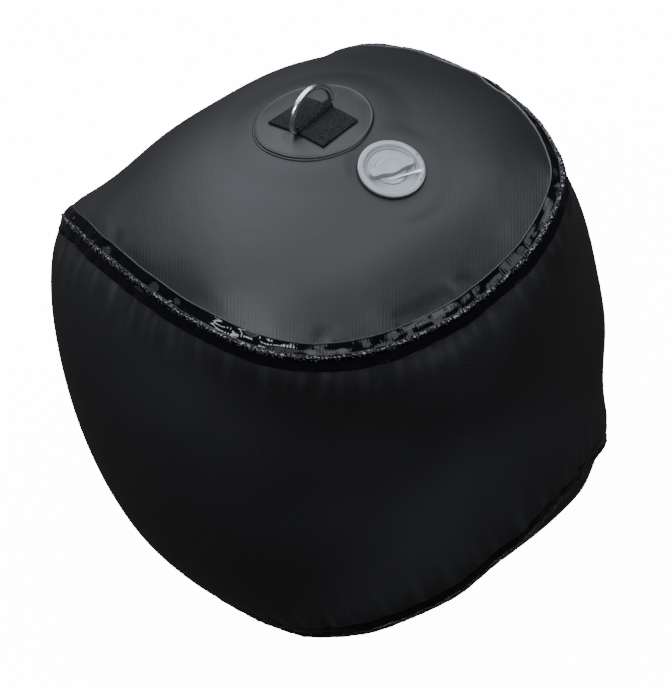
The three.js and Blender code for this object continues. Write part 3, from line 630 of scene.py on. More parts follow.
def valve_place():
    """The valve's own axes, with Z along the cap's hinge."""
    joint = next(j for j in frame["joints"] if j["name"] == "cap_turn")
    z = Vector(joint["axis"]).normalized()
    y = z.cross(Vector((1, 0, 0))).normalized()
    x = y.cross(z)
    return Matrix.Translation(joint["pos_m"]) @ Matrix((x, y, z)).transposed().to_4x4()


def cap_place(sizes):
    return valve_place() @ Matrix.Rotation(sizes.grip_turn, 4, "Z")


class AnchorSeat:
    """The smooth bed of the anchor: the height of the upper ply's top over x and y."""

    def __init__(self):
        points = {}
        for p in points_of(frame["nodes"]["anchor_patch_upper"]):
            key = (round(p[0], 5), round(p[1], 5))
            points[key] = max(points.get(key, -1), p[2])
        xy = np.array(list(points))
        columns = np.c_[np.ones(len(xy)), xy, xy**2]
        self.terms = np.linalg.lstsq(columns, np.array(list(points.values())), rcond=None)[0]
        self.middle = (xy.min(axis=0) + xy.max(axis=0)) / 2

    def top(self, x, y):
        a, b, c, d, e = self.terms
        return a + b * x + c * y + d * x * x + e * y * y


def step(value, low, high):
    """0 below low, 1 above high and smooth between."""
    u = np.clip((value - low) / (high - low), 0, 1)
    return u * u * (3 - 2 * u)


shared = {}


class FENDER_OT_skin(bpy.types.Operator):
    """Builds the blown-up fabric with its puckers beside the seam"""

    bl_idname = "fender.skin"
    bl_label = "Skin"

    def execute(self, context):
        sizes = context.scene.fender_skin
        valve = context.scene.fender_valve
        node = frame["nodes"]["bladder"]
        skin = new_mesh("skin", [])
        skin.data = node.data.copy()
        clean(skin, 1e-5)
        shared["seam"] = seam = Seam(points_of(skin))
        shared["seat"] = seat = AnchorSeat()
        self.close_pocket(skin, valve)
        modify(skin, "REMESH", mode="VOXEL", voxel_size=sizes.voxel, adaptivity=0.0)
        modify(skin, "SMOOTH", factor=0.5, iterations=14)
        distance, _ = seam.nearest(points_of(skin))
        calm = skin.vertex_groups.new(name="calm")
        for vertex, share in enumerate(step(distance, 22 * MM, 60 * MM)):
            calm.add([vertex], float(share), "REPLACE")
        modify(skin, "SMOOTH", factor=0.5, iterations=90, vertex_group="calm")
        skin.vertex_groups.clear()
        modify(skin, "SUBSURF", levels=1, render_levels=1)
        points = self.slump(points_of(skin), seam)
        set_points(skin, points)
        normals = normals_of(skin)
        distance, at = seam.nearest(points)
        side = self.panel_side(points, at, seam)
        points = points + normals * self.puckers(sizes, points, distance, at, side, seam)[:, None]
        points = self.settle_under_fittings(points, context, seat)
        set_points(skin, points)
        for name, values in (("panel", side), ("edge", distance), ("run", seam.run[at])):
            layer = skin.data.attributes.new(name, "FLOAT", "POINT")
            layer.data.foreach_set("value", values.astype(float))
        shared["surface"] = BVHTree.FromPolygons(
            [tuple(p) for p in points], [tuple(f.vertices) for f in skin.data.polygons])
        self.open_under_valve(skin, valve)
        finish(skin, "inflated_skin", "fender",
               coated_fabric("coated_fabric", tuple(sizes.colour), sizes.streak), ["bladder"], angle=0)
        pick(skin)
        bpy.ops.object.shade_smooth()
        return {"FINISHED"}

    def cut_at_valve(self, skin, radius, low, high):
        """Deletes the skin's points round the valve's axis and leaves the hole's edge selected, in edit mode."""
        inward = valve_place().inverted()
        for vertex in skin.data.vertices:
            p = inward @ vertex.co
            vertex.select = math.hypot(p.x, p.y) < radius and low < p.z < high
        for part in (*skin.data.polygons, *skin.data.edges):
            part.select = all(skin.data.vertices[v].select for v in part.vertices)
        pick(skin)
        bpy.ops.object.mode_set(mode="EDIT")
        bpy.ops.mesh.select_mode(type="VERT")
        bpy.ops.mesh.delete(type="VERT")
        bpy.ops.mesh.select_all(action="DESELECT")
        bpy.ops.mesh.select_non_manifold()

    def close_pocket(self, skin, valve):
        """Takes out the valve's pocket and closes the hole."""
        self.cut_at_valve(skin, valve.gasket + 1.0 * MM, -60 * MM, 8 * MM)
        bpy.ops.mesh.fill()
        bpy.ops.mesh.select_all(action="SELECT")
        bpy.ops.mesh.normals_make_consistent(inside=False)
        bpy.ops.object.mode_set(mode="OBJECT")

    def slump(self, points, seam):
        """Moves the seam's low side out or in, seen from the camera, as the soft ball hangs there."""
        places = [math.radians(angle) for angle, _ in SLUMP]
        turns = np.arange(len(seam.points)) / len(seam.points) * TURN
        sizes = np.interp(turns, places, [size * MM for _, size in SLUMP])
        from_middle = seam.points - np.array(BALL_MIDDLE)
        back = np.array(VIEW_BACK)
        flat = from_middle - np.outer(from_middle @ back, back)
        moves = flat / np.linalg.norm(flat, axis=1)[:, None] * sizes[:, None]
        for _ in range(200):
            moves = (np.roll(moves, 1, axis=0) + 2 * moves + np.roll(moves, -1, axis=0)) / 4
        distance, at = seam.nearest(points)
        reach = np.where(self.panel_side(points, at, seam) > 0, SLUMP_REACH[1], SLUMP_REACH[0])
        moved = points + moves[at] * (1 - step(distance / reach, 0.0, 1.0))[:, None]
        seam.settle(seam.points + moves)
        return moved

    def panel_side(self, points, at, seam):
        """0 on the panel under the fittings and 1 on the other, by the side of the seam that a point is on."""
        near = seam.points[at]
        away = np.cross(seam.tangents[at], near - np.array(BALL_MIDDLE))
        return (np.einsum("ij,ij->i", points - near, away) > 0).astype(float)

    def puckers(self, sizes, points, distance, at, side, seam):
        """Height of the gathers: valleys that start under the tape and fade into the panel."""
        run = seam.run[at]
        height = np.zeros(len(points))
        rng = random.Random(7)
        for panel in (0, 1):
            mine = (side == panel) & (distance < 0.13)
            d, s = distance[mine], run[mine]
            total = np.zeros(len(d))
            place = rng.uniform(0, sizes.pucker_step)
            while place < seam.length:
                t = TURN * place / seam.length
                loose = 0.5 + 0.5 * math.cos(2 * t) * (1 if panel == 0 else -1)
                strong = rng.random() < 0.26
                depth = sizes.pucker_depth * (0.3 + 0.6 * loose) * rng.uniform(0.4, 1.2)
                if panel == 0:
                    strong = any(abs(math.degrees(t) - dimple) < 1.5 for dimple in DIMPLES)
                    depth = sizes.pucker_depth * (DIMPLE_DEPTH if strong else DENT_DEPTH)
                else:
                    depth *= GATHER_DEPTH
                length = rng.uniform(18, 34) * MM * (1 + 0.4 * loose)
                width = rng.uniform(3.6, 6.5) * MM
                if strong:
                    depth *= 1.7
                    length *= 0.6 if panel == 0 else 1.7
                    width *= 1.7 if panel == 0 else 1.25
                lean = rng.uniform(-0.25, 0.25)
                along = np.abs(s - place)
                along = np.minimum(along, seam.length - along)
                signed = np.where(np.abs(s - place) < seam.length / 2, s - place, 0)
                offset = (signed - lean * (d - 0.014)) / (width * (1 + d / 0.05))
                fade = step(d, 0.006, 0.013) * (1 - step(d, 0.012 + 0.3 * length, 0.014 + length))
                shape = -np.exp(-offset**2) + 0.45 * np.exp(-(offset / 2.3) ** 2)
                total += np.where(along < 0.09, depth * fade * shape, 0)
                place += sizes.pucker_step * rng.uniform(0.55, 1.45)
            height[mine] = total
        return height

    def settle_under_fittings(self, points, context, seat):
        """Lays the fabric flat under the valve and lifts it against the anchor's lower ply."""
        valve = context.scene.fender_valve
        anchor = context.scene.fender_anchor
        to_valve = np.array(valve_place().inverted())
        back = np.array(valve_place())
        local = points @ to_valve[:3, :3].T + to_valve[:3, 3]
        reach = np.hypot(local[:, 0], local[:, 1])
        here = np.abs(local[:, 2]) < 0.03
        flat = np.where(here, 1 - step(reach, valve.gasket + 1.5 * MM, valve.gasket + 26 * MM), 0)
        local[:, 2] = local[:, 2] * (1 - flat) - 0.05 * MM * flat
        points = local @ back[:3, :3].T + back[:3, 3]
        out = np.hypot(points[:, 0] - seat.middle[0], points[:, 1] - seat.middle[1])
        bed = seat.top(points[:, 0], points[:, 1]) - 2 * anchor.ply - 0.35 * MM
        above = points[:, 2] > -0.09
        hold = np.where(above, 1 - step(out, anchor.patch_radius + 3 * MM, anchor.patch_radius + 38 * MM), 0)
        hold = np.where(here & (reach < valve.gasket + 3 * MM), 0, hold)
        by_valve = np.where(here, 1 - step(reach, valve.gasket + 2 * MM, valve.gasket + 12 * MM), 0)
        points[:, 2] += (bed - points[:, 2]) * hold * (1 - 0.999 * by_valve)
        return points

    def open_under_valve(self, skin, valve):
        """Opens the skin inside the gasket, where the valve passes through, and turns its edge in."""
        self.cut_at_valve(skin, valve.mouth, -20 * MM, 20 * MM)
        bpy.ops.mesh.extrude_region_move()
        down = valve_place().to_3x3() @ Vector((0, 0, -3 * MM))
        bpy.ops.transform.translate(value=down)
        bpy.ops.object.mode_set(mode="OBJECT")


class FENDER_OT_tape(bpy.types.Operator):
    """Lays the glossy tape over the whole seam"""

    bl_idname = "fender.tape"
    bl_label = "Seam tape"

    def execute(self, context):
        sizes = context.scene.fender_tape
        seam = shared["seam"]
        surface = shared["surface"]
        rows = int(seam.length / (2.4 * MM))
        shares = [-1.0, -0.995, -0.965, -0.92, -0.83, -0.72, -0.6, -0.48, -0.36, -0.25, -0.16, -0.1, -0.05, 0.0,
                  0.05, 0.1, 0.16, 0.25, 0.36, 0.48, 0.6, 0.72, 0.83, 0.92, 0.965, 0.995, 1.0]
        rng = np.random.default_rng(3)
        wobble = self.slow_noise(rng, rows, 60, 0.5 * MM)
        rough_crest = self.slow_noise(rng, rows, 700, 0.5 * MM)
        buckles = {hand: self.soft_noise(rng, rows, seam.length, wave * MM, size * MM)
                   for hand, wave, size in ((-1, 15, 0.85), (1, 11, 0.4))}
        grid = np.zeros((rows, len(shares), 3))
        marks = np.linspace(0, seam.length, rows, endpoint=False)
        index = np.searchsorted(seam.run, marks, side="right") - 1
        for r, i in enumerate(index):
            share = (marks[r] - seam.run[i]) / (np.roll(seam.run, -1)[i] - seam.run[i] or 1)
            j = (i + 1) % len(seam.points)
            middle = Vector(seam.points[i] * (1 - min(share, 1)) + seam.points[j] * min(share, 1))
            tangent = Vector(seam.tangents[i])
            out = self.outward(surface, middle, tangent)
            beside = tangent.cross(out).normalized()
            arms = {}
            for hand in (-1, 1):
                foot = surface.find_nearest(middle + beside * hand * sizes.flank)
                arm = (foot[0] - middle).normalized()
                arms[hand] = (arm, foot[1])
            crest = (arms[1][1] + arms[-1][1]).normalized()
            reach = sizes.flank + wobble[r]
            for c, u in enumerate(shares):
                hand = 1 if u > 0 else -1
                arm, normal = arms[hand]
                place = middle + arm * abs(u) * reach
                if abs(u) > 0.4:
                    snapped = surface.find_nearest(place)
                    place = snapped[0]
                    normal = snapped[1].lerp(normal, 0.5).normalized()
                lift = sizes.thickness
                if abs(u) >= 0.99:
                    lift = -0.4 * MM if abs(u) == 1.0 else 0.45 * MM
                elif abs(u) > 0.93:
                    lift = sizes.thickness + (0.35 if hand < 0 else 0.1) * MM
                if 0.9 < abs(u) < 1.0:
                    sunk = min(1.0, max(0.0, (TAPE_LOW - place.z) / TAPE_FADE))
                    lift -= 0.7 * MM * sunk * (1 if abs(u) < 0.99 else 0.4)
                lift += (buckles[hand][r] * max(0.0, 1 - ((abs(u) - 0.5) / 0.42) ** 2)) * 0.7
                fold = max(0.0, 1 - abs(u) / 0.13)
                normal = normal.lerp(crest, min(1.0, fold * 1.5)).normalized()
                rise = (sizes.ridge - sizes.thickness + rough_crest[r]) * (fold * fold * (3 - 2 * fold))
                grid[r, c] = place + normal * (lift + rise)
        for c in range(1, len(shares) - 1):
            if 0.2 < abs(shares[c]) < 0.95:
                row = grid[:, c]
                grid[:, c] = (np.roll(row, 1, axis=0) + 2 * row + np.roll(row, -1, axis=0)) / 4
        self.lap(grid, shares, marks, seam, surface)
        points = grid.reshape(-1, 3)
        wide = len(shares)
        faces = [
            (r * wide + c, r * wide + c + 1, ((r + 1) % rows) * wide + c + 1, ((r + 1) % rows) * wide + c)
            for r in range(rows) for c in range(wide - 1)
        ]
        under = [
            (r * wide + wide - 1, r * wide, ((r + 1) % rows) * wide, ((r + 1) % rows) * wide + wide - 1)
            for r in range(rows)
        ]
        tape = new_mesh("tape", points, faces + under)
        clean(tape, 1e-7)
        across = tape.data.attributes.new("across", "FLOAT", "POINT")
        across.data.foreach_set("value", np.tile(shares, rows).astype(float))
        run = tape.data.attributes.new("run", "FLOAT", "POINT")
        run.data.foreach_set("value", np.repeat(marks, wide).astype(float))
        finish(tape, "seam_tape_strip", "fender", gloss_tape(tuple(sizes.colour)), ["seam_tape"],
               angle=60)
        return {"FINISHED"}

    def outward(self, surface, middle, tangent):
        """The way out of the ball at the seam, as the mean of the normals on both sides."""
        rough = (middle - BALL_MIDDLE).normalized()
        beside = tangent.cross(rough).normalized()
        total = Vector()
        for hand in (-1, 1):
            total += surface.find_nearest(middle + beside * hand * 0.012)[1]
        return total.normalized()

    def slow_noise(self, rng, rows, knots, size):
        values = rng.normal(0, size * 0.5, knots)
        return np.interp(np.arange(rows) * knots / rows, np.arange(knots + 1), np.append(values, values[0]))

    def soft_noise(self, rng, rows, length, wave, size):
        values = rng.normal(0, 1, rows)
        reach = max(2, int(rows * wave / length / 2))
        kernel = np.hanning(2 * reach + 3)[1:-1]
        smooth_values = np.convolve(np.concatenate([values[-reach:], values, values[:reach]]), kernel, "valid")
        return smooth_values * size / smooth_values.std()

    def lap(self, grid, shares, marks, seam, surface):
        """Thickens the tape for a short way where its two ends lap."""
        start = LAP_AT * seam.length
        low = start - LAP_LENGTH
        on = step(marks, low, low + 1.5 * MM) * (1 - step(marks, start, start + 1.5 * MM))
        for r in np.nonzero(on)[0]:
            for c, u in enumerate(shares):
                if 0.02 < abs(u) < 0.99:
                    normal = surface.find_nearest(Vector(grid[r, c]))[1]
                    grid[r, c] += np.array(normal) * 0.55 * MM * on[r]


class FENDER_OT_patches(bpy.types.Operator):
    """Lays the two round plies under the D-ring"""

    bl_idname = "fender.patches"
    bl_label = "Anchor patches"

    def execute(self, context):
        sizes = context.scene.fender_anchor
        skin = context.scene.fender_skin
        seat = shared["seat"]
        paint = coated_fabric("patch_fabric", tuple(0.7 * c for c in skin.colour), skin.streak, False, 0.13)
        for node, name, drop in (("anchor_patch_lower", "patch_lower_ply", sizes.ply + GAP),
                                 ("anchor_patch_upper", "patch_upper_ply", 0.0)):
            low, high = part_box(node)
            middle = ((low[0] + high[0]) / 2, (low[1] + high[1]) / 2)
            radius = (high[0] - low[0]) / 2
            ply = self.disc(middle, radius, sizes.ply)
            points = points_of(ply)
            out = np.hypot(points[:, 0] - middle[0], points[:, 1] - middle[1]) / radius
            angle = np.arctan2(points[:, 1] - middle[1], points[:, 0] - middle[0])
            bead = 0.45 * MM * np.exp(-((out - 0.982) / 0.011) ** 2)
            curl = (0.16 * np.sin(5 * angle + 1) + 0.1 * np.sin(11 * angle)) * MM * step(out, 0.9, 1.0)
            ripple = 1 + 0.0035 * np.sin(7 * angle + 2) * step(out, 0.9, 1.0)
            top = points[:, 2] > -0.5 * sizes.ply
            points[:, 0] = middle[0] + (points[:, 0] - middle[0]) * ripple
            points[:, 1] = middle[1] + (points[:, 1] - middle[1]) * ripple
            points[:, 2] += seat.top(points[:, 0], points[:, 1]) - drop + np.where(top, bead, 0) + curl
            set_points(ply, points)
            finish(ply, name, "fender", paint, [node], angle=50)
        return {"FINISHED"}

    def disc(self, middle, radius, thickness):
        """A flat disc with rings of points, from z = -thickness to 0."""
        deselect()
        bpy.ops.mesh.primitive_cylinder_add(
            vertices=144, radius=radius, depth=thickness, location=(*middle, -thickness / 2), end_fill_type="NGON")
        ply = bpy.context.object
        bpy.ops.object.transform_apply(location=True, rotation=True, scale=True)
        bpy.ops.object.mode_set(mode="EDIT")
        bpy.ops.mesh.select_mode(type="FACE")
        bpy.ops.mesh.select_all(action="DESELECT")
        bpy.ops.object.mode_set(mode="OBJECT")
        for polygon in ply.data.polygons:
            polygon.select = abs(polygon.normal.z) > 0.9
        bpy.ops.object.mode_set(mode="EDIT")
        for share in (0.008, 0.012, 0.012, 0.02, 0.05, 0.1, 0.12, 0.14, 0.14, 0.14, 0.14):
            bpy.ops.mesh.inset(thickness=radius * share, depth=0, use_individual=False)
        bpy.ops.mesh.poke()
        bpy.ops.object.mode_set(mode="OBJECT")
        soften(ply, 0.25 * MM, 2, 60)
        return ply


class FENDER_OT_strap(bpy.types.Operator):
    """Sews the webbing strap over the D-ring's bar"""

    bl_idname = "fender.strap"
    bl_label = "Webbing strap"

    def execute(self, context):
        sizes = context.scene.fender_anchor
        seat = shared["seat"]
        low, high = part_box("webbing_strap")
        back, front = low[0], high[0]
        half = (high[1] - low[1]) / 2
        strap = self.sheet(back, front, half, 130, 72)
        points = points_of(strap)
        s = (points[:, 0] - back) / (front - back)
        w = (points[:, 1] + half) / (2 * half)
        x, z = self.profile(points[:, 0], sizes, back, front)
        tail_back = np.clip((-x - 10 * MM) / (22 * MM), 0, 1)
        tail_front = np.clip((x - 10 * MM) / (25 * MM), 0, 1)
        y = points[:, 1]
        x = x - tail_back * (4.2 * MM * (1 - 2 * w)) + tail_front * (0.9 * MM * (2 * w - 1))
        y = y - tail_front * 0.9 * MM
        base = seat.top(x, y) + GAP
        middle = seat.top(0, 0) + GAP
        hump = 1 - step(np.abs(x), 6.5 * MM, 9 * MM)
        z = z + (base - middle) * (1 - hump)
        z += self.dents(x, y, half) * MM
        set_points(strap, np.c_[x, y, z])
        modify(strap, "SOLIDIFY", thickness=sizes.webbing, offset=-1)
        soften(strap, 0.35 * MM, 2, 50)
        shared["strap_top"] = lambda px, py: seat.top(px, py) + GAP + sizes.webbing
        finish(strap, "webbing_sleeve", "fender", woven_webbing((0.0045, 0.0045, 0.005)),
               ["webbing_strap"], angle=50)
        self.stitches(context, half, back, front)
        self.frays(context)
        return {"FINISHED"}

    def sheet(self, back, front, half, along, across):
        deselect()
        bpy.ops.mesh.primitive_grid_add(x_subdivisions=along, y_subdivisions=across, size=2)
        strap = bpy.context.object
        points = points_of(strap)
        points[:, 0] = back + (points[:, 0] + 1) / 2 * (front - back)
        points[:, 1] *= half
        set_points(strap, points)
        return strap

    def profile(self, x, sizes, back, front):
        """Bends a flat run of webbing over the bar: the top face's x and z."""
        outer = sizes.wire + GAP + sizes.webbing
        seat = shared["seat"]
        ground = seat.top(0, 0) + GAP + sizes.webbing
        foot = 8.0 * MM
        arc = math.pi * outer
        wall = -ground
        over = arc + 2 * wall
        stretch = (2 * foot - 2 * outer + over) / (2 * foot)
        new_x, new_z = x.copy(), np.full_like(x, ground)
        inside = np.abs(x) < foot
        run = x[inside] * stretch
        side = np.sign(run)
        run = np.abs(run)
        top = run < arc / 2
        drop = (~top) & (run < arc / 2 + wall)
        flat = ~(top | drop)
        px = np.where(top, outer * np.sin(run / outer), 0.0)
        pz = np.where(top, outer * np.cos(run / outer), 0.0)
        px = np.where(drop, outer, px)
        pz = np.where(drop, -(run - arc / 2), pz)
        px = np.where(flat, outer + (run - arc / 2 - wall), px)
        pz = np.where(flat, ground, pz)
        new_x[inside] = side * px
        new_z[inside] = pz
        return new_x, new_z

    def dents(self, x, y, half):
        """Soft hollows along the rows of stitching, and edges that curl up a little."""
        rows = -0.35 * np.exp(-((np.abs(x) - 9.5 * MM) / (1.3 * MM)) ** 2)
        edge = 0.25 * step(np.abs(y), half - 3 * MM, half)
        return rows + edge * step(np.abs(x), 9 * MM, 14 * MM)

    def stitches(self, context, half, back, front):
        sizes = context.scene.fender_anchor
        top = shared["strap_top"]

        def sewn(p, q, pitch=2.6 * MM):
            """Short raised stitches from p to q."""
            length = math.hypot(q[0] - p[0], q[1] - p[1])
            count = max(1, int(length / pitch))
            paths = []
            for i in range(count):
                path = []
                for k, rise in ((0.08, -0.5), (0.2, 0.35), (0.5, 0.55), (0.8, 0.35), (0.92, -0.5)):
                    u = (i + k) / count
                    x = p[0] + (q[0] - p[0]) * u
                    y = p[1] + (q[1] - p[1]) * u
                    path.append((x, y, top(x, y) + rise * sizes.thread))
                paths.append(path)
            return paths

        paths = []
        edge = half - 3.2 * MM
        for hand in (-1, 1):
            near = 9.6 * MM * hand
            far = (back + 4 * MM) if hand < 0 else (front - 4 * MM)
            count = 34
            for i in range(count):
                y0 = -edge + 2 * edge * i / count
                y1 = -edge + 2 * edge * (i + 1) / count
                swing = 1.1 * MM * (1 if i % 2 else -1)
                paths += sewn((near - swing, y0), (near + swing, y1), 9 * MM)
            box = [(near + 2.5 * MM * hand, -edge), (far, -edge), (far, edge), (near + 2.5 * MM * hand, edge)]
            for i in range(4):
                paths += sewn(box[i], box[(i + 1) % 4])
            paths += sewn(box[0], box[2])
            paths += sewn(box[1], box[3])
        threads = strand("stitching", paths, sizes.thread, 1)
        loose = []
        for i in range(15):
            a = i / 14 * 4.4
            x = -4.4 * MM - 4.6 * MM * math.sin(a)
            y = -27.5 * MM - 2.8 * MM * (1 - math.cos(a)) - 0.25 * MM * i
            loose.append((x, y, top(0, -27 * MM) - 1.2 * MM + 0.9 * MM * math.sin(a * 0.7)))
        tail = strand("loose_end", [loose], sizes.thread * 0.7, 1)
        threads = merge("stitching", [threads, tail])
        finish(threads, "strap_stitching", "fender", sewing_thread((0.012, 0.012, 0.013)), angle=60)

    def frays(self, context):
        """Fine cut threads along the webbing's two cut edges."""
        sizes = context.scene.fender_anchor
        top = shared["strap_top"]
        rng = random.Random(5)
        paths = []
        a, b, c, d = STRAP_CORNERS
        for (x0, y0), (x1, y1), way in ((a, b, -1), (d, c, 1)):
            for _ in range(90):
                u = rng.random()
                x, y = (x0 + (x1 - x0) * u) * MM, (y0 + (y1 - y0) * u) * MM
                z = top(x, y) - rng.uniform(0.2, 1.6) * MM
                reach = rng.uniform(0.3, 1.3) * MM
                turn = rng.uniform(-0.6, 0.6)
                paths.append([
                    (x - way * 1.2 * MM, y, z),
                    (x, y, z),
                    (x + way * reach * 0.6, y + turn * reach, z + rng.uniform(-0.1, 0.25) * MM),
                    (x + way * reach, y + 2 * turn * reach, z + rng.uniform(-0.5, 0.3) * MM),
                ])
        fibres = strand("frays", paths, 0.09 * MM, 0)
        finish(fibres, "strap_frayed_ends", "fender", sewing_thread((0.014, 0.014, 0.015)), angle=60)


class FENDER_OT_ring(bpy.types.Operator):
    """Bends the D-ring from one rod"""

    bl_idname = "fender.ring"
    bl_label = "D-ring"

    def execute(self, context):
        wire = context.scene.fender_anchor.wire
        low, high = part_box("d_ring")
        half = (high[1] - low[1]) / 2 - wire
        crown = high[2] - wire
        corner, shoulder = 4 * MM, 5 * MM
        path = []
        for i in range(13):
            a = i / 12 * math.pi / 2
            path.append((half - corner + corner * math.sin(a), corner * (1 - math.cos(a))))
        for i in range(1, 96):
            a = i / 96 * math.pi
            path.append((half * math.cos(a), shoulder + (crown - shoulder) * math.sin(a)))
        for i in range(13):
            a = (1 - i / 12) * math.pi / 2
            path.append((-(half - corner + corner * math.sin(a)), corner * (1 - math.cos(a))))
        for i in range(1, 24):
            path.append((-(half - corner) * (1 - i / 12), 0.0))
        path = np.array(path)
        for _ in range(3):
            path = (np.roll(path, 1, axis=0) + 2 * path + np.roll(path, -1, axis=0)) / 4
        ring = strand("rod", [[(0.0, y, z) for y, z in path]], wire, 8, closed=True)
        clean(ring)
        finish(ring, "d_ring_rod", "ring", polished_steel(), ["d_ring"], angle=60)
        return {"FINISHED"}


class FENDER_OT_valve(bpy.types.Operator):
    """Builds the valve's flange with its bowl, and the gasket under it"""

    bl_idname = "fender.valve"
    bl_label = "Valve body"

    def execute(self, context):
        sizes = context.scene.fender_valve
        flange, mouth = sizes.flange / MM, sizes.mouth / MM
        floor, bore = sizes.floor / MM, sizes.bore / MM
        body = turned("valve_flange", [
            (flange, 2.1), (flange, 4.1), (flange - 0.9, 4.4), (flange - 1.1, 4.75), (flange - 1.7, 5.0),
            (mouth + 0.6, 5.0), (mouth + 0.1, 4.75), (mouth - 0.3, 4.2), (floor + 0.9, 0.7), (floor + 0.3, 0.18),
            (floor - 0.6, 0.0), (bore + 0.25, 0.0), (bore, -0.25), (bore, -12.0), (bore + 3.0, -12.0),
            (bore + 3.0, -2.2), (floor, -2.2), (mouth - 2.6, 2.1), (flange, 2.1)], 128)
        holes = []
        for angle in DRAINS:
            deselect()
            reach = (flange - (flange - mouth) / 2) * MM
            a = math.radians(angle)
            bpy.ops.mesh.primitive_cylinder_add(
                vertices=20, radius=0.85 * MM, depth=12 * MM,
                location=(reach * math.cos(a), reach * math.sin(a), 4.4 * MM))
            bpy.ops.object.transform_apply(location=True, rotation=True, scale=True)
            holes.append(bpy.context.object)
        cutter = merge("drain_cutter", holes)
        modify(body, "BOOLEAN", operation="DIFFERENCE", object=cutter, solver="EXACT")
        bpy.data.objects.remove(cutter)
        body.data.transform(valve_place())
        plastic = moulded_plastic("valve_plastic", tuple(sizes.colour))
        shared["plastic"] = plastic
        finish(body, "valve_bowl", "fender", plastic, ["valve_body"], angle=40)
        outer = sizes.gasket / MM
        gasket = turned("gasket", [
            (outer - 7, 0.0), (outer - 0.4, -0.05), (outer, 0.3), (outer, 1.6), (outer - 0.4, 2.05),
            (outer - 7, 2.05), (outer - 7, 0.0)], 128)
        gasket.data.transform(valve_place())
        finish(gasket, "flange_gasket", "fender", rubber("gasket_rubber", (0.004, 0.004, 0.004)),
               ["valve_gasket"], angle=50)
        return {"FINISHED"}


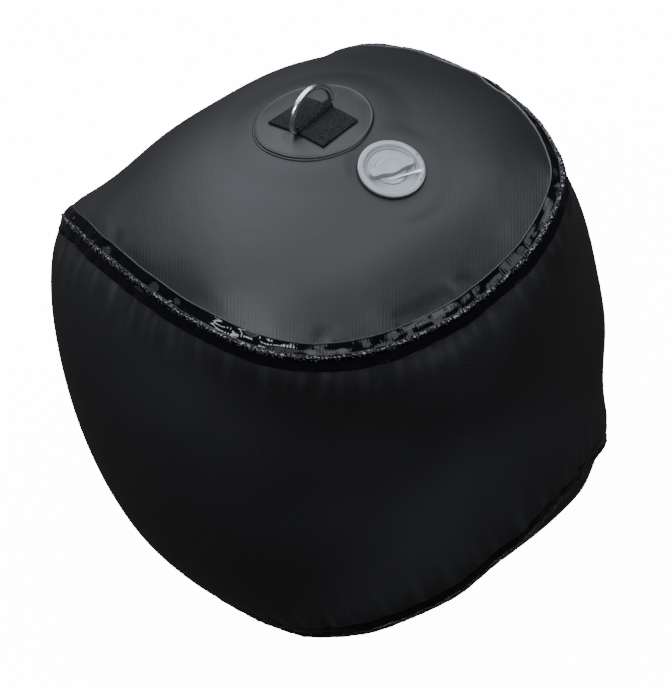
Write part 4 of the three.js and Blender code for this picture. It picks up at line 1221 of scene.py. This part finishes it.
class FENDER_OT_cap(bpy.types.Operator):
    """Moulds the cap with its finger grip, and the strap that keeps it"""

    bl_idname = "fender.cap"
    bl_label = "Valve cap"

    def execute(self, context):
        sizes = context.scene.fender_valve
        grip = self.grip(sizes)
        bore = sizes.bore / MM - 0.3
        plug = turned("plug", [
            (0, -1.6), (bore - 3.7, -1.6), (bore - 3.7, -10), (bore, -10), (bore, 0.7), (bore - 0.35, 1.0),
            (bore - 3.0, 1.0), (bore - 3.5, 1.35), (0, 1.4)], 96)
        cap = merge("cap", [plug, grip])
        cap.data.transform(cap_place(sizes))
        cap_paint = moulded_plastic("cap_plastic", tuple(min(1.0, 1.08 * c) for c in sizes.colour), 0.16)
        finish(cap, "cap_grip", "cap", cap_paint, ["valve_cap"], angle=45)
        self.tether(sizes)
        return {"FINISHED"}

    def half_width(self, x, bulge):
        """Half the grip's width in millimetres, as it swells from the wing to the boss."""
        swell = math.cos(min(abs(x) / 15.0, 1.0) * math.pi / 2) ** 2
        return WING_HALF + (bulge - WING_HALF) * swell

    def grip(self, sizes):
        """The grip: a round boss with a wing on each side, hollowed on the near side."""
        reach = sizes.floor / MM - 0.6
        straight = reach - WING_HALF
        edge = []
        for facing, bulge in ((1, 12.4), (-1, 7.0)):
            for i in range(41):
                x = facing * straight * (1 - 2 * i / 40)
                edge.append((x, facing * self.half_width(x, bulge)))
            for i in range(1, 14):
                a = math.pi * i / 14
                edge.append((facing * (-straight - WING_HALF * math.sin(a)), facing * WING_HALF * math.cos(a)))
        sway = [(x, y - 1.6 * math.sin(math.pi * max(-1, min(1, x / 20.0)) / 2) ** 3) for x, y in edge]
        points = [(x * MM, y * MM, 0.7 * MM) for x, y in sway]
        grip = new_mesh("grip", points, faces=[list(range(len(points)))])
        pick(grip)
        bpy.ops.object.mode_set(mode="EDIT")
        bpy.ops.mesh.select_all(action="SELECT")
        bpy.ops.mesh.extrude_region_move()
        bpy.ops.transform.translate(value=(0, 0, 7.3 * MM))
        bpy.ops.mesh.select_all(action="SELECT")
        bpy.ops.mesh.normals_make_consistent(inside=False)
        bpy.ops.object.mode_set(mode="OBJECT")
        deselect()
        bpy.ops.mesh.primitive_cylinder_add(vertices=72, radius=8.5 * MM, depth=2 * MM, location=(0, 0, 8.6 * MM))
        bpy.ops.object.transform_apply(location=True, rotation=True, scale=True)
        cutter = bpy.context.object
        modify(grip, "BOOLEAN", operation="DIFFERENCE", object=cutter, solver="EXACT")
        bpy.data.objects.remove(cutter)
        soften(grip, 1.1 * MM, 5, 40)
        points = points_of(grip)
        high = points[:, 2] > 4 * MM
        out = np.abs(points[:, 0]) / (reach * MM)
        points[:, 2] -= np.where(high, 1.3 * MM * step(out, 0.55, 1.0), 0)
        set_points(grip, points)
        return grip

    def tether(self, sizes):
        low = 5.75
        angle = math.radians(TETHER_AT - GRIP_TURN)
        reach = sizes.mouth / MM + 0.8
        root = Vector((reach * math.cos(angle), reach * math.sin(angle), low))
        stops = [root, Vector((13.6, -12.9, 4.6)), Vector((4.0, -10.9, 3.4)), Vector((-2.5, -10.0, 2.6)),
                 Vector((-8.0, -8.3, 2.0))]
        path = []
        for i in range(len(stops) - 1):
            a, b, c, d = (stops[max(0, min(len(stops) - 1, i + k))] for k in (-1, 0, 1, 2))
            for j in range(8):
                u = j / 8
                path.append(0.5 * (2 * b + (c - a) * u + (2 * a - 5 * b + 4 * c - d) * u**2
                                   + (3 * b - a - 3 * c + d) * u**3) * MM)
        path.append(stops[-1] * MM)
        radii = [1 + 1.1 * max(0.0, 1 - i / 7) for i in range(len(path))]
        band = self.band(path, radii)
        prongs = []
        for turn in (-0.09, 0.0, 0.09):
            out, way = reach + 2.6, angle + turn
            tip = Vector((out * math.cos(way), out * math.sin(way), low - 0.3))
            prongs.append([tuple(root * MM), tuple((root * 0.4 + tip * 0.6) * MM), tuple(tip * MM)])
        fork = strand("fork", prongs, 0.55 * MM, 3)
        band = merge("tether", [band, fork])
        band.data.transform(cap_place(sizes))
        # Painted reflection: the leash's grey plastic is coloured near white to stand in for the light reflected
        # on its glossy upper side.
        finish(band, "cap_leash", None, moulded_plastic("leash_painted_reflection", (0.78, 0.8, 0.8), 0.22),
               ["cap_tether"], angle=60)
        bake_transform(band)

    def band(self, path, radii):
        """A soft-edged strap, lying flat, that follows the path."""
        ring = [(math.cos(TURN * k / 12), math.sin(TURN * k / 12)) for k in range(12)]
        points, faces = [], []
        for i, p in enumerate(path):
            ahead = (path[min(i + 1, len(path) - 1)] - path[max(i - 1, 0)]).normalized()
            aside = ahead.cross(Vector((0, 0, 1))).normalized()
            up = aside.cross(ahead)
            end = 0.6 if i in (0, len(path) - 1) else 1.0
            for c, s in ring:
                points.append(p + aside * c * 1.05 * MM * radii[i] * end + up * s * 0.5 * MM * end)
        for i in range(len(path) - 1):
            for k in range(12):
                n = (k + 1) % 12
                faces.append((i * 12 + k, i * 12 + n, (i + 1) * 12 + n, (i + 1) * 12 + k))
        faces.append(tuple(range(12)))
        faces.append(tuple((len(path) - 1) * 12 + k for k in range(12)))
        band = new_mesh("band", points, faces)
        clean(band)
        return band


class FENDER_OT_inner(bpy.types.Operator):
    """Gives the parts inside the valve their finishes"""

    bl_idname = "fender.inner"
    bl_label = "Inner valve parts"

    def execute(self, context):
        plastic = shared["plastic"]
        dark = rubber("seal_rubber", (0.006, 0.006, 0.006))
        steel = polished_steel()
        for name, paint in (("valve_base", plastic), ("valve_plunger", plastic), ("plunger_button", plastic),
                            ("valve_diaphragm", dark), ("cap_seal", dark)):
            node = frame["nodes"][name]
            node.data.materials.clear()
            node.data.materials.append(paint)
        coil = new_mesh("coil", [])
        coil.data = frame["nodes"]["valve_spring"].data.copy()
        clean(coil, 1e-5)
        finish(coil, "return_spring", None, steel, ["valve_spring"])
        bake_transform(coil)
        return {"FINISHED"}


class FENDER_OT_stage(bpy.types.Operator):
    """Sets the floor, the lights and the camera"""

    bl_idname = "fender.stage"
    bl_label = "Stage"

    def execute(self, context):
        sizes = context.scene.fender_stage
        deselect()
        bpy.ops.mesh.primitive_plane_add(size=sizes.floor, location=(0, 0, CAD_BOX[0][2] - 2 * MM))
        floor = bpy.context.object
        floor.name = "floor"
        floor.data.materials.append(studio_floor())
        floor.visible_glossy = False
        floor.visible_diffuse = False
        world = bpy.data.worlds.new("studio")
        context.scene.world = world
        world.use_nodes = True
        world.node_tree.nodes["Background"].inputs[0].default_value = (1.0, 1.0, 1.0, 1)
        world.node_tree.nodes["Background"].inputs[1].default_value = 0.06
        middle = BALL_MIDDLE
        self.light("overhead", middle + Vector((0.15, 0.35, 2.3)), middle, (3.0, 3.0), sizes.overhead)
        self.light("left", middle + Vector((-1.4, 0.45, 1.9)), middle, (2.2, 1.9), sizes.left)
        self.light("right", middle + Vector((1.6, 0.7, 1.85)), middle, (1.8, 1.8), sizes.right)
        self.light("key", middle + Vector((0.35, -1.7, 1.95)), middle, (1.9, 0.34), sizes.key)
        self.camera(context)
        return {"FINISHED"}

    def light(self, name, place, target, size, power):
        data = bpy.data.lights.new(name, "AREA")
        data.shape = "RECTANGLE"
        data.size, data.size_y = size
        data.energy = power
        data.color = (0.89, 0.92, 1.0)
        lamp = bpy.data.objects.new(name, data)
        bpy.context.scene.collection.objects.link(lamp)
        lamp.location = place
        lamp.rotation_euler = (target - place).to_track_quat("-Z", "Y").to_euler()

    def camera(self, context):
        data = bpy.data.cameras.new("camera")
        data.sensor_fit = "VERTICAL"
        data.sensor_height = 24.0
        data.lens = data.sensor_height * FOCUS_PIXELS / PHOTO_HEIGHT
        data.shift_x, data.shift_y = (shift / PHOTO_HEIGHT for shift in SHIFT_PIXELS)
        data.clip_start = 0.05
        data.clip_end = 100.0
        camera = bpy.data.objects.new("camera", data)
        context.scene.collection.objects.link(camera)
        turn = Matrix((VIEW_RIGHT, VIEW_UP, VIEW_BACK)).transposed()
        camera.matrix_world = Matrix.Translation(BALL_MIDDLE + VIEW_BACK * CAMERA_AWAY) @ turn.to_4x4()
        context.scene.camera = camera


class FENDER_PT_panel(bpy.types.Panel):
    """Lists the fender's sizes and its build steps"""

    bl_idname = "FENDER_PT_panel"
    bl_label = "Ball fender"
    bl_space_type = "VIEW_3D"
    bl_region_type = "UI"
    bl_category = "Fender"

    def draw(self, context):
        for group in GROUPS:
            settings = getattr(context.scene, group)
            box = self.layout.box()
            for name in settings.bl_rna.properties.keys():
                if name not in ("rna_type", "name"):
                    box.prop(settings, name)
        for operator in OPERATORS:
            self.layout.operator(operator.bl_idname)


GROUPS = {
    "fender_skin": SkinSizes,
    "fender_tape": TapeSizes,
    "fender_anchor": AnchorSizes,
    "fender_valve": ValveSizes,
    "fender_stage": StageSizes,
}
OPERATORS = (
    FENDER_OT_stage,
    FENDER_OT_skin,
    FENDER_OT_tape,
    FENDER_OT_patches,
    FENDER_OT_strap,
    FENDER_OT_ring,
    FENDER_OT_valve,
    FENDER_OT_cap,
    FENDER_OT_inner,
)


def register():
    for name, group in GROUPS.items():
        bpy.utils.register_class(group)
        setattr(bpy.types.Scene, name, bpy.props.PointerProperty(type=group))
    for operator in OPERATORS:
        bpy.utils.register_class(operator)
    bpy.utils.register_class(FENDER_PT_panel)


def unregister():
    bpy.utils.unregister_class(FENDER_PT_panel)
    for operator in reversed(OPERATORS):
        bpy.utils.unregister_class(operator)
    for name, group in GROUPS.items():
        delattr(bpy.types.Scene, name)
        bpy.utils.unregister_class(group)


def main():
    register()
    bpy.ops.fender.stage()
    bpy.ops.fender.skin()
    bpy.ops.fender.tape()
    bpy.ops.fender.patches()
    bpy.ops.fender.strap()
    bpy.ops.fender.ring()
    bpy.ops.fender.valve()
    bpy.ops.fender.cap()
    bpy.ops.fender.inner()


if __name__ == "__main__":
    main()
